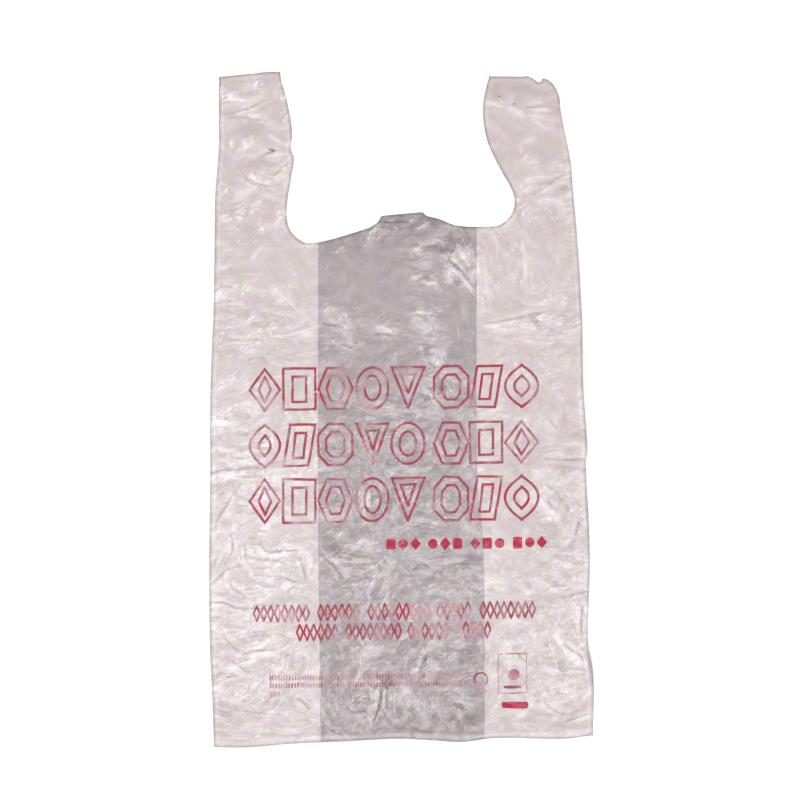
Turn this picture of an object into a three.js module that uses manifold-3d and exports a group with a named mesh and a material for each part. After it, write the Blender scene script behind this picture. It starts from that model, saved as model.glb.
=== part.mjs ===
// A thin plastic carrier bag with two loop handles, empty and pressed flat, lying on its back panel.
// It is one length of blown film tube. Its sides are tucked in as gussets, it is heat sealed straight
// across at the bottom and at the top of each handle, and a die cuts out the neck between the handles.
// Millimetres: +X across the width, +Y from the bottom seal to the handles, +Z up from the surface that
// it lies on. The origin is on that surface, under the middle of the bag.
import * as THREE from "three";
import { mergeVertices } from "three/addons/utils/BufferGeometryUtils.js";
import Module from "manifold-3d";

const wasm = await Module();
wasm.setup();

// The tube of film, laid flat with its gussets tucked in.
const layFlatWidth = 292;
const bagLength = 533;
const gussetDepth = 82.5;

// The film and how its layers lie. The real film is about 0.015 thick and its layers all but touch.
const filmWall = 0.2;
const layerGap = 0.45;
const sealedGap = 0.06;
const closingLength = 18;
const airLift = 2.6;
const gussetStepWidth = 9;

// A heat seal, and the loose film left beyond it by the hot knife.
const sealWidth = 2.2;
const skirtLength = 5;

// The die cut. Widths are those of one handle, and depths are measured down from the top edge.
const handleTopWidth = 52;
const handleBulgeWidth = 62;
const handleBulgeDepth = 64;
const handleRootWidth = 51;
const handleRootDepth = 104;
const neckLowWidth = 77;
const neckLowDepth = 126;
const neckRise = 16;
const tabWidth = 34;
const tabHeight = 3.5;

// The corner torn off the right handle.
const tornAlongTop = 26;
const tornDownSide = 15;
const tornBite = 5;

// How finely the round forms are divided.
const foldSegments = 4;
const panelSegments = 6;
const lengthSegments = 9;
const closingSegments = 4;
const stepSegments = 4;
const curveSegments = 8;
const cutMargin = 4;

// The handle of a cubic curve that draws a quarter of an ellipse, as a share of the radius.
const quarterTurnHandle = 0.5523;

const halfWidth = layFlatWidth / 2;
const halfLength = bagLength / 2;
const foldedLayers = 4;

// Runs from 0 to 1, level at both ends.
function ease(share) {
  return THREE.MathUtils.smoothstep(share, 0, 1);
}

// The air between two layers at a place along the bag: least at a seal, and full some way from it.
function gapAt(y) {
  const sealCentre = halfLength - skirtLength - sealWidth / 2;
  const distance = Math.max(0, Math.abs(sealCentre - Math.abs(y)) - sealWidth / 2);
  return THREE.MathUtils.lerp(sealedGap, layerGap, ease(distance / closingLength));
}

// How far the trapped air lifts the front panel off the gussets.
function liftAt(x, y) {
  const sealEdge = halfLength - skirtLength - sealWidth;
  const alongBag = Math.cos((Math.PI / 2) * Math.min(1, Math.abs(y) / sealEdge));
  const acrossBag = Math.cos((Math.PI / 2) * Math.min(1, Math.abs(x) / halfWidth));
  return airLift * Math.sqrt(alongBag) * acrossBag;
}

// The middle of the film's wall in one layer, counted up from the back panel.
function layerHeight(layer, gap) {
  return filmWall / 2 + layer * (filmWall + gap);
}

function foldRadius(gap) {
  return (filmWall + gap) / 2;
}

// Where the outer folds turn. The film's outer face then ends at the half width.
function outerFoldX(gap) {
  return halfWidth - filmWall / 2 - foldRadius(gap);
}

// Half a turn of film about a fold's centre. Its normals point to the outside of the bag, which is the
// hollow side of the gusset's inner fold.
function foldPoints(centreX, centreZ, gap, isInnerFold) {
  const radius = foldRadius(gap);
  const points = [];
  for (let i = 0; i <= foldSegments; i += 1) {
    const turn = Math.PI * (i / foldSegments - 0.5);
    const radialX = isInnerFold ? -Math.cos(turn) : Math.cos(turn);
    const radialZ = Math.sin(turn);
    const facing = isInnerFold ? -1 : 1;
    points.push({
      x: centreX + radius * radialX,
      z: centreZ + radius * radialZ,
      normalX: facing * radialX,
      normalZ: facing * radialZ,
    });
  }
  return points;
}

// The front panel's height. It lies on the folded gussets at the sides, and drops in the middle to the
// back panel, where there are only two layers.
function frontHeight(x, y) {
  const gap = gapAt(y);
  const innerFold = halfWidth - gussetDepth;
  const onGusset = ease((Math.abs(x) - innerFold + gussetStepWidth) / gussetStepWidth);
  const level = THREE.MathUtils.lerp(1, foldedLayers - 1, onGusset);
  return layerHeight(level, gap) + liftAt(x, y);
}

// Where the front panel has points, from its outer fold to the middle of the bag.
function frontStations(gap) {
  const innerFold = halfWidth - gussetDepth;
  const stepEnd = innerFold - gussetStepWidth;
  const stations = [];
  for (let i = 1; i < panelSegments; i += 1) {
    stations.push(THREE.MathUtils.lerp(outerFoldX(gap), innerFold, i / panelSegments));
  }
  for (let i = 0; i < stepSegments; i += 1) {
    stations.push(THREE.MathUtils.lerp(innerFold, stepEnd, i / stepSegments));
  }
  for (let i = 0; i <= panelSegments; i += 1) {
    stations.push(THREE.MathUtils.lerp(stepEnd, 0, i / panelSegments));
  }
  return stations;
}

// The film's path from the middle of the back panel round the right side to the middle of the front:
// back panel, outer fold, back leaf of the gusset, inner fold, front leaf, outer fold, front panel.
function rightHalfPath(y) {
  const gap = gapAt(y);
  const radius = foldRadius(gap);
  const foldX = outerFoldX(gap);
  const innerX = halfWidth - gussetDepth + filmWall / 2 + radius;
  const path = [{ x: 0, z: layerHeight(0, gap), normalX: 0, normalZ: -1 }];
  path.push(...foldPoints(foldX, layerHeight(0, gap) + radius, gap, false));
  path.push(...foldPoints(innerX, layerHeight(1, gap) + radius, gap, true));
  path.push(...foldPoints(foldX, layerHeight(2, gap) + radius, gap, false));
  for (const x of frontStations(gap)) {
    path.push({ x, z: frontHeight(x, y), normalX: 0, normalZ: 1 });
  }
  return path;
}

// The whole closed path of the film round the tube, the left half mirrored from the right.
function tubePath(y) {
  const right = rightHalfPath(y);
  const left = right.slice(1, -1).reverse();
  return right.concat(left.map((p) => ({ ...p, x: -p.x, normalX: -p.normalX })));
}

// Places along the bag where the tube has a section: close together at the seals, then evenly spaced.
function lengthStations() {
  const sealInner = skirtLength + sealWidth;
  const fromEnd = [0, skirtLength, sealInner];
  for (let i = 1; i < closingSegments; i += 1) {
    fromEnd.push(sealInner + (i / closingSegments) * closingLength);
  }
  const stations = fromEnd.map((distance) => distance - halfLength);
  const reach = halfLength - sealInner - closingLength;
  for (let i = 0; i <= lengthSegments; i += 1) {
    stations.push(THREE.MathUtils.lerp(-reach, reach, i / lengthSegments));
  }
  return stations.concat(fromEnd.map((distance) => halfLength - distance).reverse());
}

// The tube of film as one wall with two faces, open at both ends.
function makeTube() {
  const stations = lengthStations();
  const positions = [];
  for (const y of stations) {
    const path = tubePath(y);
    for (const side of [1, -1]) {
      const offset = (side * filmWall) / 2;
      for (const p of path) {
        positions.push(p.x + offset * p.normalX, y, p.z + offset * p.normalZ);
      }
    }
  }
  const around = tubePath(0).length;
  const index = [];
  const quad = (a, b, c, d) => index.push(a, b, c, a, c, d);
  for (let i = 0; i < around; i += 1) {
    const next = (i + 1) % around;
    for (let j = 0; j + 1 < stations.length; j += 1) {
      const here = 2 * around * j;
      const beyond = here + 2 * around;
      quad(here + i, beyond + i, beyond + next, here + next);
      quad(here + around + next, beyond + around + next, beyond + around + i, here + around + i);
    }
    const last = 2 * around * (stations.length - 1);
    quad(i, next, around + next, around + i);
    quad(last + around + i, last + around + next, last + next, last + i);
  }
  const geometry = new THREE.BufferGeometry();
  geometry.setAttribute("position", new THREE.Float32BufferAttribute(positions, 3));
  geometry.setIndex(index);
  return geometry;
}

// The fused band of a heat seal. It fills the gaps between the layers, from the middle of the back
// panel's wall to the middle of the front panel's, over the seal's width.
function makeSeal(centreY) {
  const gap = gapAt(centreY);
  const foldX = outerFoldX(gap);
  const base = layerHeight(0, gap);
  const edge = [foldX, ...frontStations(gap)];
  const band = new THREE.Shape();
  band.moveTo(-foldX, base);
  band.lineTo(foldX, base);
  for (const x of edge) {
    band.lineTo(x, frontHeight(x, centreY));
  }
  for (const x of edge.slice(0, -1).reverse()) {
    band.lineTo(-x, frontHeight(x, centreY));
  }
  const geometry = new THREE.ExtrudeGeometry(band, { depth: sealWidth, bevelEnabled: false });
  geometry.rotateX(Math.PI / 2);
  geometry.translate(0, centreY + sealWidth / 2, 0);
  return geometry;
}

// A cutting rule's outline made into a block that goes right through the folded stack.
function makeCutter(outline) {
  const stackHeight = layerHeight(foldedLayers, layerGap) + airLift;
  const depth = stackHeight + 2 * cutMargin;
  const geometry = new THREE.ExtrudeGeometry(outline, { depth, bevelEnabled: false, curveSegments });
  geometry.translate(0, 0, -cutMargin);
  return geometry;
}

// Down one handle's inner edge and along the neck to the tab, on the right (side 1) or the left (-1).
function neckHalf(side) {
  const point = (fromOuterFold, depth) =>
    new THREE.Vector2(side * (halfWidth - fromOuterFold), halfLength - depth);
  const top = point(handleTopWidth, 0);
  const bulge = point(handleBulgeWidth, handleBulgeDepth);
  const root = point(handleRootWidth, handleRootDepth);
  const low = point(neckLowWidth, neckLowDepth);
  const tabFoot = new THREE.Vector2((side * tabWidth) / 2, low.y + neckRise);
  const curve = (from, fromTangent, toTangent, to) =>
    new THREE.CubicBezierCurve(from, from.clone().add(fromTangent), to.clone().sub(toTangent), to);
  const down = (length) => new THREE.Vector2(0, -length);
  const inward = (length) => new THREE.Vector2(-side * length, 0);
  const topToBulge = handleBulgeDepth / 3;
  const bulgeToRoot = (handleRootDepth - handleBulgeDepth) / 2;
  const cornerDown = quarterTurnHandle * (neckLowDepth - handleRootDepth);
  const cornerInward = quarterTurnHandle * (neckLowWidth - handleRootWidth);
  const neckInward = (halfWidth - neckLowWidth - tabWidth / 2) / 3;
  const slope = inward(neckInward).add(down(-neckRise / 3));
  return [
    curve(top, down(topToBulge), down(topToBulge), bulge),
    curve(bulge, down(bulgeToRoot), down(bulgeToRoot), root),
    curve(root, down(cornerDown), inward(cornerInward), low),
    curve(low, inward(neckInward), slope, tabFoot),
  ];
}

// What the die takes out between the handles. The neck keeps a low stub where a tab was torn away.
function makeNeckCutter() {
  const outline = [];
  const left = neckHalf(-1).flatMap((part) => part.getPoints(curveSegments).slice(0, -1));
  const right = neckHalf(1).flatMap((part) => part.getPoints(curveSegments).slice(0, -1));
  const tabTop = halfLength - neckLowDepth + neckRise + tabHeight;
  outline.push(new THREE.Vector2(left[0].x, halfLength + cutMargin), ...left);
  for (const side of [-1, 1]) {
    const foot = new THREE.Vector2((side * tabWidth) / 2, tabTop - tabHeight);
    const crown = new THREE.Vector2(foot.x, tabTop);
    outline.push(...(side < 0 ? [foot, crown] : [crown, foot]));
  }
  outline.push(...right.reverse(), new THREE.Vector2(right.at(-1).x, halfLength + cutMargin));
  return makeCutter(new THREE.Shape(outline));
}

// The torn corner: a ragged bite that runs from the top edge to the outer fold.
function makeTornCornerCutter() {
  const along = halfWidth - tornAlongTop;
  const side = halfLength - tornDownSide;
  const middleX = halfWidth - tornAlongTop / 2;
  const outline = new THREE.Shape();
  outline.moveTo(along, halfLength + cutMargin);
  outline.lineTo(along, halfLength);
  outline.quadraticCurveTo(middleX, halfLength, middleX, halfLength - tornBite);
  outline.quadraticCurveTo(halfWidth - tornAlongTop / 4, halfLength, halfWidth, side);
  outline.lineTo(halfWidth + cutMargin, side);
  outline.lineTo(halfWidth + cutMargin, halfLength + cutMargin);
  outline.closePath();
  return makeCutter(outline);
}

// A closed geometry as a solid that can be joined and cut.
function toSolid(geometry) {
  const bare = geometry.clone();
  bare.deleteAttribute("normal");
  bare.deleteAttribute("uv");
  const merged = mergeVertices(bare, 1e-4);
  return new wasm.Manifold(
    new wasm.Mesh({
      numProp: 3,
      vertProperties: new Float32Array(merged.attributes.position.array),
      triVerts: new Uint32Array(merged.index.array),
    }),
  );
}

function toGeometry(solid) {
  const mesh = solid.getMesh();
  const geometry = new THREE.BufferGeometry();
  geometry.setAttribute("position", new THREE.BufferAttribute(mesh.vertProperties, 3));
  geometry.setIndex(new THREE.BufferAttribute(mesh.triVerts, 1));
  geometry.computeVertexNormals();
  return geometry;
}

// Tube first, then the seals, then the die cut through every layer at once, as on the bag machine.
function makeBag() {
  const sealCentre = halfLength - skirtLength - sealWidth / 2;
  let bag = toSolid(makeTube());
  for (const end of [-1, 1]) {
    bag = bag.add(toSolid(makeSeal(end * sealCentre)));
  }
  bag = bag.subtract(toSolid(makeNeckCutter()));
  bag = bag.subtract(toSolid(makeTornCornerCutter()));
  return toGeometry(bag);
}

const filmMaterial = new THREE.MeshStandardMaterial({
  color: 0xd9d0cf,
  roughness: 0.45,
  metalness: 0,
});

const bagMesh = new THREE.Mesh(makeBag(), filmMaterial);
bagMesh.name = "carrier_bag";

const carrierBag = new THREE.Group();
carrierBag.add(bagMesh);

export default carrierBag;
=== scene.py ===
import math

import bmesh
import bpy
import numpy as np
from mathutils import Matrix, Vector
from mathutils.bvhtree import BVHTree


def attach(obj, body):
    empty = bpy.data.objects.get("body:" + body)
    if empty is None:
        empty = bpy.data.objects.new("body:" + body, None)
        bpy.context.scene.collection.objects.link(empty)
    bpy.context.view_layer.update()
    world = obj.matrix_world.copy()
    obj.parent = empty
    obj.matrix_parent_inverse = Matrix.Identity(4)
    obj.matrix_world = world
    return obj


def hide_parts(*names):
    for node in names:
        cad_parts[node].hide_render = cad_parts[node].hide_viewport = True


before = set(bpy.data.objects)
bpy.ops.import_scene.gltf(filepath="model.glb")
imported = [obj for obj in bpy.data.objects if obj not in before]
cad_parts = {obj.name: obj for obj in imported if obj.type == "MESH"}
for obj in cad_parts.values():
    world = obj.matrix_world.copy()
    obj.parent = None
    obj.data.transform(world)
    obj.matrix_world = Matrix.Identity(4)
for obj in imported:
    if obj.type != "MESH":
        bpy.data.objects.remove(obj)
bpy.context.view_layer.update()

# The view. The empty bag lies on its back panel with the print up, and the camera looks straight down
# on it from far off, so that its edges stay parallel. Places read off the photograph are in its pixels.
PIXELS_PER_METRE = 1275.0
BAG_MIDDLE_PIXEL = (401.5, 409.5)
PHOTO_PIXELS = 800.0
CAMERA_HEIGHT = 2.6
SENSOR_WIDTH = 36.0
FARTHEST_SEEN = 20.0


def from_pixel(across, down):
    """Where a pixel of the photograph lies on the floor, in metres."""
    return (
        (np.asarray(across, float) - BAG_MIDDLE_PIXEL[0]) / PIXELS_PER_METRE,
        (BAG_MIDDLE_PIXEL[1] - np.asarray(down, float)) / PIXELS_PER_METRE,
    )


def add_object(name, data):
    """Puts a mesh, a lamp or a camera in the scene."""
    made = bpy.data.objects.new(name, data)
    bpy.context.scene.collection.objects.link(made)
    return made


camera = add_object("camera", bpy.data.cameras.new("camera"))
view_x, view_y = from_pixel(PHOTO_PIXELS / 2, PHOTO_PIXELS / 2)
camera.location = (view_x, view_y, CAMERA_HEIGHT)
camera.data.sensor_width = SENSOR_WIDTH
camera.data.lens = SENSOR_WIDTH * CAMERA_HEIGHT * PIXELS_PER_METRE / PHOTO_PIXELS
camera.data.clip_end = FARTHEST_SEEN
bpy.context.scene.camera = camera

# The bag's film. Blown film tube, folded flat with a gusset tucked into each side, sealed across the
# bottom and the handle tops and die cut, then crumpled in use. It is milky, thin enough to show how
# many layers lie on each other, and creased all over, most in the lower half and the handles.
FLAT_WIDTH = 0.292
BAG_LENGTH = 0.533
GUSSET_DEPTH = 0.0825

LEFT_SIDE = [(219, 60), (219, 100), (219, 140), (215.5, 190), (215, 225), (214, 300), (212, 350),
             (210.5, 400), (210.5, 470), (209.5, 560), (210, 640), (212.5, 700), (214, 746)]
RIGHT_SIDE = [(556, 60), (559, 95), (564, 125), (570, 155), (573, 190), (576, 225), (579.5, 275),
              (582, 330), (583, 390), (587, 450), (585.5, 472), (588.5, 530), (589.5, 580), (587.5, 645),
              (592, 678), (593.5, 700), (593, 735)]
BOTTOM_SIDE = [(214, 746.5), (250, 747), (290, 743.5), (345, 741), (398, 738.5), (430, 740),
               (464, 741.5), (500, 737.5), (560, 738.5), (593, 735)]
BOTTOM_SEAL = [(205, 736.5), (260, 737), (321, 736.5), (372, 735.5), (400, 733), (440, 734.5), (484, 735),
               (540, 732), (600, 729)]
TOP_SIDE = [(219, 77), (250, 74), (282, 72), (380, 75), (489, 76.5), (560, 77)]
LEFT_GUSSET = [(318, 60), (318.5, 240), (318.5, 500), (321, 740)]
RIGHT_GUSSET = [(476.5, 60), (476.5, 460), (483, 545), (484.5, 740)]

# The die's cut round the neck, with the stub of the torn-off tab in its middle, and the torn corner.
LEFT_CUT = [(279.5, 60), (281, 80), (284.5, 92), (289.5, 114), (292, 134), (290.5, 149), (294, 159),
            (291, 178), (287.5, 200), (286.5, 214), (289, 228), (298, 239), (310, 243.5), (330, 240),
            (352, 233.5), (370, 227.5), (377.5, 222.5), (380.5, 217.5)]
TAB_CUT = [(381.5, 216), (402, 214), (422.8, 212.2)]
RIGHT_CUT = [(426, 215.8), (440, 219.5), (452, 224.5), (464, 226.5), (480, 227), (495, 226.5),
             (503.5, 223), (510, 217), (514, 208), (514.5, 199), (511, 188), (503, 174), (494, 157),
             (487, 140), (483.5, 122), (483, 106), (486, 88), (489, 77), (490, 60)]
TORN_CUT = [(527, 60), (527, 76), (533, 78.5), (538, 82.5), (541, 82), (543, 78), (548, 80), (553, 84),
            (556, 89), (559, 97), (561.5, 110), (600, 112), (600, 60)]


def smooth_line(points, steps=8):
    """A curve through points read off the photograph, as an array of places in metres."""
    known = np.array(points, float)
    padded = np.vstack([2 * known[0] - known[1], known, 2 * known[-1] - known[-2]])
    share = np.arange(steps)[:, None] / steps
    line = []
    for before, start, end, after in zip(padded, padded[1:], padded[2:], padded[3:]):
        line.append(0.5 * (2 * start + (end - before) * share
                           + (2 * before - 5 * start + 4 * end - after) * share**2
                           + (3 * start - before - 3 * end + after) * share**3))
    line.append(known[-1:])
    return np.column_stack(from_pixel(*np.vstack(line).T))


def side_at(points, along):
    """How far across a side lies at each place along the bag."""
    line = smooth_line(points)[::-1]
    return np.interp(along, line[:, 1], line[:, 0])


def end_at(points, across):
    """How far along the bag an end lies at each place across it."""
    line = smooth_line(points)
    return np.interp(across, line[:, 0], line[:, 1])


# The crumpling is worked out once, on an even field of heights that covers the whole bag.
FIELD_STEP = 0.0008
FIELD_LOW = (-0.1632, -0.2752)
FIELD_SHAPE = (689, 409)
WAVE_KNOTS = 1.6
field_x = FIELD_LOW[0] + FIELD_STEP * np.arange(FIELD_SHAPE[1])
field_y = FIELD_LOW[1] + FIELD_STEP * np.arange(FIELD_SHAPE[0])
grid_x, grid_y = np.meshgrid(field_x, field_y)


def spline_weights(count, cell):
    """How much each knot of a smooth curve counts at each of the field's points."""
    place = np.arange(count) * FIELD_STEP / cell
    whole = place.astype(int)
    t = place - whole
    weights = np.zeros((count, whole[-1] + 4))
    parts = ((1 - t) ** 3, 3 * t**3 - 6 * t**2 + 4, 3 * (t + t**2 - t**3) + 1, t**3)
    for offset, part in enumerate(parts):
        weights[np.arange(count), whole + offset] = part / 6
    return weights


def soft_waves(cell, seed, cell_along=None):
    """Gentle waves about as wide as cell, from about -1 to 1."""
    rows = spline_weights(FIELD_SHAPE[0], cell_along or cell)
    columns = spline_weights(FIELD_SHAPE[1], cell)
    knots = np.random.default_rng(seed).uniform(-WAVE_KNOTS, WAVE_KNOTS, (rows.shape[1], columns.shape[1]))
    return rows @ knots @ columns.T


def sample(field, across, along):
    """The field's value at any places, between its own points."""
    u = np.clip((np.asarray(across) - FIELD_LOW[0]) / FIELD_STEP, 0, FIELD_SHAPE[1] - 1.001)
    v = np.clip((np.asarray(along) - FIELD_LOW[1]) / FIELD_STEP, 0, FIELD_SHAPE[0] - 1.001)
    i, j = v.astype(int), u.astype(int)
    s, t = v - i, u - j
    low = field[i, j] * (1 - t) + field[i, j + 1] * t
    high = field[i + 1, j] * (1 - t) + field[i + 1, j + 1] * t
    return low * (1 - s) + high * s


def soften(field, reach):
    """The field blurred over reach metres."""
    steps = max(1, round(reach / FIELD_STEP))
    for _ in range(2):
        for axis in (0, 1):
            padded = np.concatenate([np.take(field, [0] * steps, axis), field,
                                     np.take(field, [-1] * steps, axis)], axis)
            total = np.cumsum(np.insert(padded, 0, 0, axis), axis)
            span = 2 * steps + 1
            length = field.shape[axis]
            field = (np.take(total, range(span, span + length), axis)
                     - np.take(total, range(length), axis)) / span
    return field


def hollows(field, reach):
    """The lowest height within reach of each place, which is where a layer underneath can lie."""
    for _ in range(max(1, round(reach / FIELD_STEP))):
        for axis in (0, 1):
            field = np.minimum(field, np.minimum(np.roll(field, 1, axis), np.roll(field, -1, axis)))
    return field


def near_line(across, along, line, reach):
    """Which of some places lie near a line, how far off it, on which side, and how far along it, 0 to 1."""
    low = line.min(0) - reach
    high = line.max(0) + reach
    near = np.nonzero((across > low[0]) & (across < high[0]) & (along > low[1]) & (along < high[1]))
    x, y = across[near], along[near]
    lengths = np.linalg.norm(np.diff(line, axis=0), axis=1)
    run = np.concatenate([[0], np.cumsum(lengths)]) / lengths.sum()
    nearest = np.full(x.shape, np.inf)
    side = np.zeros(x.shape)
    place = np.zeros(x.shape)
    for n in range(len(line) - 1):
        (sx, sy), (ex, ey) = line[n], line[n + 1]
        dx, dy = (ex - sx) / lengths[n], (ey - sy) / lengths[n]
        share = np.clip(((x - sx) * dx + (y - sy) * dy) / lengths[n], 0, 1)
        off_x = x - sx - share * (ex - sx)
        off_y = y - sy - share * (ey - sy)
        distance = np.hypot(off_x, off_y)
        closer = distance < nearest
        nearest = np.where(closer, distance, nearest)
        side = np.where(closer, np.sign(off_y * dx - off_x * dy), side)
        place = np.where(closer, run[n] + share * (run[n + 1] - run[n]), place)
    return near, nearest, side, place


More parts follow.
